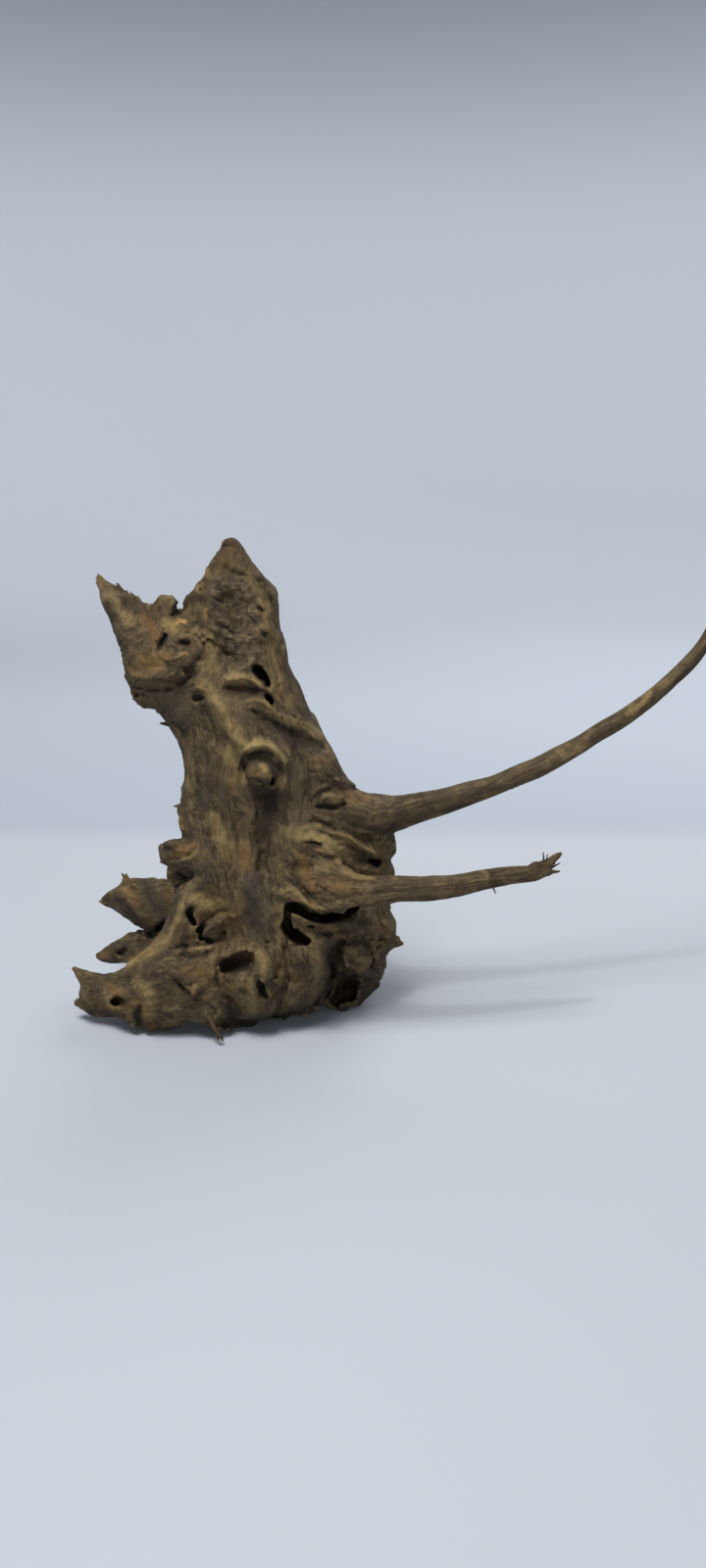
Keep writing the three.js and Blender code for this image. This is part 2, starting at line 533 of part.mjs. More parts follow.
// A list that always gives back its cheapest entry first.
class CheapestFirst {
  constructor() {
    this.items = [];
  }
  push(item) {
    const { items } = this;
    let at = items.length;
    items.push(item);
    while (at > 0) {
      const parent = (at - 1) >> 1;
      if (items[parent].cost <= item.cost) break;
      items[at] = items[parent];
      at = parent;
    }
    items[at] = item;
  }
  pop() {
    const { items } = this;
    const top = items[0];
    const item = items.pop();
    if (!items.length) return top;
    let at = 0;
    for (;;) {
      let child = 2 * at + 1;
      if (child >= items.length) break;
      if (child + 1 < items.length && items[child + 1].cost < items[child].cost) child++;
      if (items[child].cost >= item.cost) break;
      items[at] = items[child];
      at = child;
    }
    items[at] = item;
    return top;
  }
}

const less = (a, b) => [a[0] - b[0], a[1] - b[1], a[2] - b[2]];
const dot = (a, b) => a[0] * b[0] + a[1] * b[1] + a[2] * b[2];
const cross = (a, b) => [
  a[1] * b[2] - a[2] * b[1], a[2] * b[0] - a[0] * b[2], a[0] * b[1] - a[1] * b[0]];

// Fewer triangles for the same shape: the edge whose loss changes the shape least is shrunk to
// a point, again and again. No shrink may turn a face over or pinch the surface.
function thinOut({ points, faces }, wanted) {
  const KEEP_SHAPE = 1e-3; // share of each plane sum that holds a point near its edge
  const LEAST_TURN = 0.3; // cosine between a face before and after
  const facesAt = points.map(() => new Set());
  const sums = points.map(() => new PlaneSum());
  const stamps = new Int32Array(points.length);
  let alive = faces.length;
  faces.forEach((face, f) => {
    const [a, b, c] = face.map((v) => points[v]);
    const normal = cross(less(b, a), less(c, a));
    const area = Math.hypot(...normal);
    const unit = normal.map((n) => n / (area + 1e-12));
    for (const v of face) {
      facesAt[v].add(f);
      sums[v].addPlane(unit, -dot(unit, a), area);
    }
  });
  const neighbours = (v) => {
    const found = new Set();
    for (const f of facesAt[v]) for (const n of faces[f]) if (n !== v) found.add(n);
    return found;
  };
  const queue = new CheapestFirst();
  const offer = (a, b) => {
    const sum = sums[a].plus(sums[b]);
    const middle = points[a].map((value, i) => (value + points[b][i]) / 2);
    const span = less(points[a], points[b]);
    const reach = Math.hypot(...span);
    let place = sum.best();
    if (!place || Math.hypot(...less(place, middle)) > 1.5 * reach) place = middle;
    const cost = sum.at(place) + KEEP_SHAPE * sum.terms[0] * reach ** 2 + KEEP_SHAPE * reach ** 4;
    queue.push({ cost, a, b, place, sum, stamp: stamps[a] + stamps[b] });
  };
  const turnsOver = (v, other, place) => {
    for (const f of facesAt[v]) {
      const face = faces[f];
      if (face.includes(other)) continue;
      const old = face.map((n) => points[n]);
      const moved = face.map((n) => (n === v ? place : points[n]));
      const before = cross(less(old[1], old[0]), less(old[2], old[0]));
      const after = cross(less(moved[1], moved[0]), less(moved[2], moved[0]));
      const sizes = Math.hypot(...before) * Math.hypot(...after);
      if (dot(before, after) < LEAST_TURN * sizes || Math.hypot(...after) < 0.05) return true;
    }
    return false;
  };
  faces.forEach((face) => face.forEach((a, i) => {
    const b = face[(i + 1) % 3];
    if (a < b) offer(a, b);
  }));
  while (alive > wanted && queue.items.length) {
    const { a, b, place, sum, stamp } = queue.pop();
    if (stamp !== stamps[a] + stamps[b] || !facesAt[a].size || !facesAt[b].size) continue;
    const nearA = neighbours(a);
    const nearB = neighbours(b);
    if (!nearA.has(b)) continue;
    const shared = [...nearA].filter((n) => nearB.has(n));
    if (shared.length !== 2 || turnsOver(a, b, place) || turnsOver(b, a, place)) continue;
    points[a] = place;
    sums[a] = sum;
    for (const f of [...facesAt[b]]) {
      if (faces[f].includes(a)) {
        faces[f].forEach((v) => facesAt[v].delete(f));
        faces[f] = null;
        alive--;
        continue;
      }
      faces[f] = faces[f].map((v) => (v === b ? a : v));
      facesAt[a].add(f);
    }
    facesAt[b].clear();
    stamps[a]++;
    stamps[b]++;
    for (const n of neighbours(a)) offer(Math.min(a, n), Math.max(a, n));
  }
  return { points, faces: faces.filter(Boolean) };
}

const wasm = await Module();
wasm.setup();

function solidOf(geometry) {
  geometry.deleteAttribute("normal");
  geometry.deleteAttribute("uv");
  const merged = mergeVertices(geometry, 1e-3);
  return new wasm.Manifold(new wasm.Mesh({
    numProp: 3,
    vertProperties: merged.attributes.position.array,
    triVerts: new Uint32Array(merged.index.array),
  }));
}

function geometryOf(solid) {
  const { numProp, numVert, vertProperties, triVerts } = solid.getMesh();
  const places = new Float32Array(numVert * 3);
  for (let v = 0; v < numVert; v++)
    places.set(vertProperties.subarray(v * numProp, v * numProp + 3), v * 3);
  const geometry = new THREE.BufferGeometry();
  geometry.setAttribute("position", new THREE.BufferAttribute(places, 3));
  geometry.setIndex(new THREE.BufferAttribute(triVerts, 1));
  geometry.computeVertexNormals();
  return geometry;
}

// The feet are worn flat where the wood stands, so everything below the ground is cut away.
function standOnGround(solid) {
  const ground = new THREE.BoxGeometry(700, 500, 60);
  ground.translate(0, 0, -30);
  const standing = solid.subtract(solidOf(ground));
  const bodies = standing.decompose().sort((a, b) => b.volume() - a.volume());
  return bodies[0];
}

function driftwood() {
  const field = shapeField();
  mendField(field);
  const { points, faces } = thinOut(surfaceOf(field), TRIANGLES);
  const geometry = new THREE.BufferGeometry();
  geometry.setAttribute("position", new THREE.Float32BufferAttribute(points.flat(), 3));
  geometry.setIndex(faces.flat());
  const wood = new THREE.MeshStandardMaterial({ color: 0x6b573c, roughness: 0.9, metalness: 0 });
  const mesh = new THREE.Mesh(geometryOf(standOnGround(solidOf(geometry))), wood);
  mesh.name = "driftwood";
  return mesh;
}

const group = new THREE.Group();
group.add(driftwood());

export default group;
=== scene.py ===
# Driftwood: the weathered surface of one piece of wood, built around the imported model.
# Shapes are worked out in millimetres, in the model's own frame, and placed in metres.
import math

import bpy
import numpy as np
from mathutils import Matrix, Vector


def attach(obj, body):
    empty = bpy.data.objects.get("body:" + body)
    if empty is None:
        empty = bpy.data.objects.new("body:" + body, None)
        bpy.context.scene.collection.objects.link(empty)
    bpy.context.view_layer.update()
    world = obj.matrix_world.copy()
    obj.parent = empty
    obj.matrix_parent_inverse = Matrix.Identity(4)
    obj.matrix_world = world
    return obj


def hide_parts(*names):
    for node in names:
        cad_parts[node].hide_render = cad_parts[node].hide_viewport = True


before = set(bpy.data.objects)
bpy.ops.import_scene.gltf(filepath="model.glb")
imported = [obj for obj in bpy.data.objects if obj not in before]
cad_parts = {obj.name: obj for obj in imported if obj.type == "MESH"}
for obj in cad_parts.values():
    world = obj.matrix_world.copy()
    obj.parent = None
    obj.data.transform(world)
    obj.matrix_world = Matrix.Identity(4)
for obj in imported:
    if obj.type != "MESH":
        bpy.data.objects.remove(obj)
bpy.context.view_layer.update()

MM = 0.001
CELL = 1.25  # spacing of the grid that the surface is drawn from
LOW = np.array([-122.0, -62.0, -10.0])
HIGH = np.array([312.0, 112.0, 318.0])
MOST_TRIANGLES = 192000
WANDER = 1.4  # how far the wood's lines stray from smooth curves
WANDER_LENGTH = 58.0
BRANCH_START = 80.0  # the branches, from this X on, stray less
BRANCH_CALM = 0.25
FAR_OFF = 30.0  # value of the grid where no limb is near
BAND = 7.0  # depth on each side of the surface that gets the fine relief
MEND_ROUNDS = 12
SPLINTER_SIDES = 7

FINEST = 2.3  # narrowest half-width of a ridge or groove, in photograph pixels
GRAIN_BEND = 0.6  # how far the grain sways round the ridges, for each millimetre of their height

# The photograph's view: place and tilt of the eye, focal length and middle in photograph pixels.
EYE = np.array([70.0, -700.0, 346.0])
DOWN = math.radians(15)
FOCAL = 1202.0
MIDDLE = (360.0, 800.0)
TALL = 1600.0
NEAREST, FARTHEST, SIGHT_STEP = 560.0, 900.0, 0.7  # where a line of sight is searched for wood

# Limbs: name, blend, depth, then balls (x, y, z, radius) joined by a smooth taper.
TRUNK = [
    ("left column", 14, 0.9, [
        (-7, 3, 37, 26.5), (-11, -2, 76, 24), (-13, -6, 110, 22), (-14, -7, 142, 21.5),
        (-13, -8, 170, 20.2), (-16, -7, 194, 21.2), (-24, -7, 214, 23), (-36, -7, 233, 23),
        (-50.5, -5, 247, 19), (-60, -3, 260, 12), (-69, -2, 269.5, 7.5), (-74, -1, 275.5, 4.2),
        (-77, -1, 279, 2.8), (-79, -1, 283, 2.3), (-80, -1, 285.5, 1.5)]),
    ("bulge under the horn", 6, 0.9, [(-36, -12, 239, 18.5), (-50.5, -12, 232, 15.5)]),
    ("ledge under the horn", 4, 0.9, [(-42, -6, 221, 11.5), (-52, -6, 217, 9)]),
    ("centre column", 14, 0.9, [
        (23, 0, 35, 31.5), (21, -4, 76, 31), (18, -8, 114, 28), (15, -11, 149, 25.5),
        (11, -13, 177, 23.5), (8, -12, 201, 23), (2, -9, 224, 22), (-1, -6, 247, 19.5),
        (-3, -3, 266, 16.5), (-4, 0, 281, 11.5), (-3, 0, 294, 6.5), (-3, 0, 303, 3)]),
    ("right column", 12, 0.95, [
        (59, 15, 49, 28.5), (57, 12, 87, 27.5), (53, 8, 117, 26.5), (46, 5, 143, 25),
        (39, 4, 167, 22.8), (32, 3, 189, 18.2), (24, 2, 210, 14.2), (19, 2, 231, 11.6),
        (17, 2, 252, 11.5), (15, 2, 269, 11), (8, 1, 281, 9.5), (3, 1, 292, 6),
        (-1, 0, 302, 3)]),
    ("back left column", 16, 1, [
        (-10, 43, 31, 27), (-11, 32, 83, 26), (-10, 24, 139, 21.5), (-13, 20, 179, 18.5),
        (-21, 12, 217, 15.5), (-36, 6, 239, 12)]),
    ("back right column", 16, 1, [
        (43, 48, 32, 30), (39, 40, 80, 30), (31, 28, 138, 26.5), (21, 22, 184, 19.5),
        (9, 16, 223, 15.5), (4, 11, 253, 12), (0, 6, 277, 7)]),
    ("shoulder of the peak", 5, 0.8, [
        (-18, -2, 255, 13), (-20, -1, 268, 7.5), (-14, 0, 281, 5), (-8, 0, 293, 4.5)]),
    ("corner by the notch", 3, 0.9, [(-22, -2, 262, 8), (-25, -2, 271.5, 4)]),
    ("bump by the notch", 4, 1, [(-30, -4, 253, 11), (-40, -5, 256, 9), (-39, -3, 268, 6.8)]),
    ("stub on the left", 4, 0.9, [
        (-22, -8, 104, 16), (-34, -11, 113, 11.5), (-42, -13, 119, 9)]),
    ("swelling under the stub", 5, 0.9, [(-27, 8, 88, 17.5), (-40, 8, 96, 10.5)]),
    ("nub on the left edge", 3, 1, [(-25, -8, 137, 12), (-34, -9, 144, 3.5)]),
]
ROOTS = [
    ("front left root", 9, 0.8, [
        (-10, -8, 38, 26), (-34, -12, 32, 26), (-57, -14, 23.5, 22.5), (-75, -9, 20, 14),
        (-88, -5, 21, 12.5), (-94, -4, 20, 11)]),
    ("crest of the front root", 7, 0.9, [
        (-22, -10, 95, 14.5), (-34, -10, 72, 12.5), (-49, -10, 50, 11), (-67, -9, 36, 9),
        (-83, -6, 27, 7.5)]),
    ("upper tip of the front root", 3, 0.9, [
        (-90, -4, 27, 8.5), (-100, -3, 30, 5.5), (-107, -2, 34, 3), (-111, -2, 38.5, 1.2)]),
    ("lower tip of the front root", 3, 0.9, [
        (-84, -5, 17, 9), (-93, -4, 12, 7), (-100, -3, 11.5, 4.5), (-107, -2, 11.5, 2.5)]),
    ("back upper root", 9, 0.55, [
        (-24, 34, 63, 24.5), (-47, 44, 62, 21.5), (-66, 52, 59.5, 19), (-80, 57, 60.5, 13),
        (-90, 60, 61.5, 8), (-95, 60, 60.5, 4.5)]),
    ("spike of the back upper root", 3, 1, [
        (-81, 59, 67, 5.5), (-84.5, 60, 73, 2.4), (-86, 60, 77.5, 1.4)]),
    ("tip of the back upper root", 3, 1, [
        (-93, 60, 60, 3.5), (-98.5, 60, 59, 1.8), (-102, 60, 59.5, 1)]),
    ("back lower root", 8, 0.7, [
        (-29, 36, 29, 21), (-56, 47, 27, 16.5), (-74, 52, 27, 12), (-87, 55, 26, 10.3),
        (-95, 56, 23.5, 7.5), (-102, 57, 21, 4), (-106.5, 57, 21.5, 1.8)]),
    ("front lobe, middle", 6, 0.9, [(10, -18, 48, 23), (8, -14, 27, 22)]),
    ("front lobe, right", 6, 0.9, [(34, -17, 60, 20.5), (33, -12, 45, 18.5)]),
    ("front lobe, left", 6, 0.9, [(-15, -15, 45, 22), (-20, -14, 24, 22)]),
    ("foot under the trunk", 8, 1, [(0, 2, 40, 26), (0, 2, 22, 24)]),
    ("back foot", 12, 1, [(10, 45, 50, 33), (-4, 66, 21, 23)]),
    ("back right foot", 12, 1, [(50, 40, 52, 30.5), (68, 58, 18, 20)]),
    ("right lobe, top", 5, 0.9, [(71, 16, 72, 21.5), (85.5, 22, 52, 14)]),
    ("right lobe, low", 6, 0.9, [(57, 26, 31, 25), (67, 25, 32, 25.5), (64, 22, 15, 16)]),
    ("nub of the right lobe", 2, 1, [(91, 23, 43, 6.5), (98, 23, 43, 3.5), (102, 23, 43, 2)]),
    ("bulge of the right lobe", 4, 0.9, [(64, 4, 52, 11.5), (72, -2, 47, 12)]),
    ("tongue in the hollow", 2.5, 0.9, [
        (77, 0, 65, 11), (61, -14, 71, 8), (45, -24, 77, 6), (35, -28, 83, 3.5)]),
]
BRANCHES = [
    ("lower branch", 9, 1, [
        (28, -12, 105, 18), (46, -21, 102, 16), (63, -28, 100, 12), (79, -31, 100, 9.5),
        (97, -31, 101, 8.6), (117, -29, 101, 7.8), (135, -27, 103, 7), (161, -23, 106, 6),
        (179, -21, 108, 5.5), (187, -20, 111, 4.5)]),
    ("splinter of the lower branch", 2, 1, [
        (181, -21, 112, 4), (187, -20, 114, 3), (193, -19, 118, 2.5), (196, -19, 120, 1.5)]),
    ("upper branch", 9, 1, [
        (52, 2, 138, 22.5), (74, 3, 136, 16), (90, 4, 137, 12.5), (105, 4, 141, 10.5),
        (122, 5, 144.5, 9.2), (137, 6, 149, 8), (155, 7, 155, 7), (173, 8, 162, 7),
        (192, 10, 170, 6.5), (216, 12, 184, 6), (240, 14, 199, 5.5), (258, 16, 214, 5),
        (275, 18, 229, 5), (284, 19, 240, 4.5), (290, 20, 252, 4.5), (295, 21, 268, 4),
        (298, 22, 282, 3.5), (299, 22, 295, 2.5), (300, 22, 303, 1)]),
    ("web between the branches", 7, 0.9, [(61, 5, 122, 22), (76, 7, 114, 17.5), (85, 10, 100, 10.5)]),
    ("upper nub of the web", 3, 1, [(84, 6, 124, 9), (91, 6, 121, 6.5), (93, 9, 113, 5.5)]),
    ("lower nub of the web", 3, 1, [(86, 8, 100, 8.5), (92, 10, 98, 5.5)]),
]
# The heart of the base is one ball, stretched along X and flattened.
HEART_MIDDLE = (22, 24, 34)
HEART_REACH = (53, 42, 30)
HEART_BLEND = 14

# Folds stand out of the surface: name, blend, balls.
FOLDS = [
    ("rim of the knot", 5, [
        (16, -30, 158, 3.5), (5, -30, 162, 4), (1, -29, 172, 4.5), (4, -29, 184, 5),
        (15, -30, 190, 5.5), (27, -28, 185, 5), (31, -25, 173, 4.5), (27, -28, 162, 4),
        (16, -30, 158, 3.5)]),
    ("top of the branch swirl", 4, [
        (33, -28, 122, 4.5), (47, -26, 119, 4.5), (61, -32, 113, 4), (73, -34, 108, 4)]),
    ("lip of the branch swirl", 3, [
        (26, -31, 101, 4), (36, -34, 99, 4.5), (47, -35, 93, 4), (62, -37, 93, 3.5)]),
    ("fold of the front root", 4, [(-49, -24, 48, 4), (-36, -31, 43, 4.5), (-27, -34, 36, 4)]),
    ("brow under the horn", 4, [
        (-55, -24, 229, 4), (-40, -29, 229, 4.5), (-28, -28, 234, 4), (-21, -22, 242, 4)]),
    ("knot on the back", 5, [(10, 42, 150, 9), (11, 50, 153, 7)]),
    ("long fold on the back", 6, [
        (-12, 46, 120, 7), (-16, 40, 150, 6), (-16, 33, 182, 5), (-24, 24, 212, 4)]),
    ("second fold on the back", 6, [
        (50, 62, 96, 8), (43, 55, 128, 7), (33, 45, 158, 5), (22, 37, 186, 4)]),
    ("fold across the back foot", 5, [
        (-22, 62, 62, 6), (2, 74, 56, 7), (26, 76, 62, 6), (44, 70, 74, 5)]),
]
# Hollows are cut out of the surface after the folds.
HOLLOWS = [
    ("groove round the knot", 2, [
        (8, -38, 166, 1.5), (5, -38, 174, 1.5), (7, -39, 182, 2), (15, -41, 186, 2.5),
        (24, -38, 183, 2), (27, -35, 175, 1.5), (24, -37, 166, 1.5)]),
    ("hollow below the knot", 8, [(18, -46, 146, 11), (25, -46, 126, 10)]),
    ("hollow beside the stub", 4, [(-41, -5, 98, 6), (-30, -26, 106, 6)]),
    ("undercut of the front root", 4, [(-84, -22, 6, 5), (-76, -30, 9, 5)]),
    ("notch of the right lobe", 3, [(99, 8, 67, 5), (98, 32, 67, 5)]),
    ("face of the peak", 4, [(3, -37, 251, 21), (1, -28, 271, 18)]),
    ("notch by the horn", 1.5, [(-27, -32, 284, 4), (-30, -8, 276, 2), (-34, 22, 279, 4)]),
    ("hole in the back root", 1.5, [(-87, 43, 28, 3.5), (-88, 49, 25, 3)]),
    ("hollow up the back", 6, [(14, 62, 96, 10), (8, 54, 122, 8), (2, 44, 170, 5), (-2, 36, 200, 4)]),
    ("groove round the back knot", 3, [
        (-1, 46, 148, 3), (4, 48, 162, 3), (16, 49, 162, 3), (22, 52, 150, 3),
        (14, 53, 139, 3), (3, 50, 141, 3), (-1, 46, 148, 3)]),
    ("cave in the back foot", 4, [(24, 86, 40, 9), (22, 66, 36, 7)]),
    ("hole in the back", 2, [(38, 78, 100, 5), (36, 60, 98, 4)]),
    ("groove on the back root", 4, [(-30, 66, 48, 5), (-52, 68, 46, 4), (-72, 66, 44, 3)]),
]

# What follows is placed by where the photograph's view shows it, in photograph pixels.
# Holes run in along the line of sight: depth in millimetres, then (across, down, radius).
HOLES = [
    (13, [(260, 682, 2), (265, 687, 3.2), (270, 693, 3.2), (274, 699, 2), (275, 703, 1.2)]),
    (11, [(274.5, 712, 1.4), (277, 716, 1.9), (279, 721, 1.5)]),
    (2.5, [(280, 794, 1.7), (281, 799, 1.7)]),
    (7, [(375, 879, 2.2), (380, 881, 2.8), (384, 882, 2)]),
    (18, [(293, 924, 5), (300, 925, 6.5), (308, 930, 6), (316, 936, 4.6), (326, 938.5, 4.2),
          (337, 937, 4.4), (347, 932, 4.4), (357, 929, 4), (364, 925, 2.4)]),
    (18, [(291, 929, 3.6), (291, 939, 4), (294, 948, 5), (300, 954, 7), (307, 958, 4.6), (313, 961, 2)]),
    (8, [(195, 932, 1.5), (197, 938, 2.4), (199, 945, 3.4), (201, 952, 3), (200, 958, 1.5)]),
    (8, [(231, 982, 5.5), (238, 981, 7.5), (246, 981, 8), (252, 982, 6)]),
    (5, [(265, 1003, 1.4), (268, 1009, 2), (271, 1016, 1.8)]),
    (18, [(345, 963, 4), (343, 971, 5.5), (342, 983, 6), (344, 994, 8), (345, 1006, 9.5), (342, 1018, 9)]),
    (16, [(354, 1002, 10), (354, 1014, 9)]),
    (3, [(366, 999, 1.6), (371, 1001, 2)]),
    (10, [(118.5, 1024.5, 3.4), (123.5, 1025, 3.6)]),
    (10, [(160, 945, 3), (165, 943, 3.8)]),
    (6, [(149, 953, 2.4), (156, 951, 2.8), (161, 947, 3)]),
]
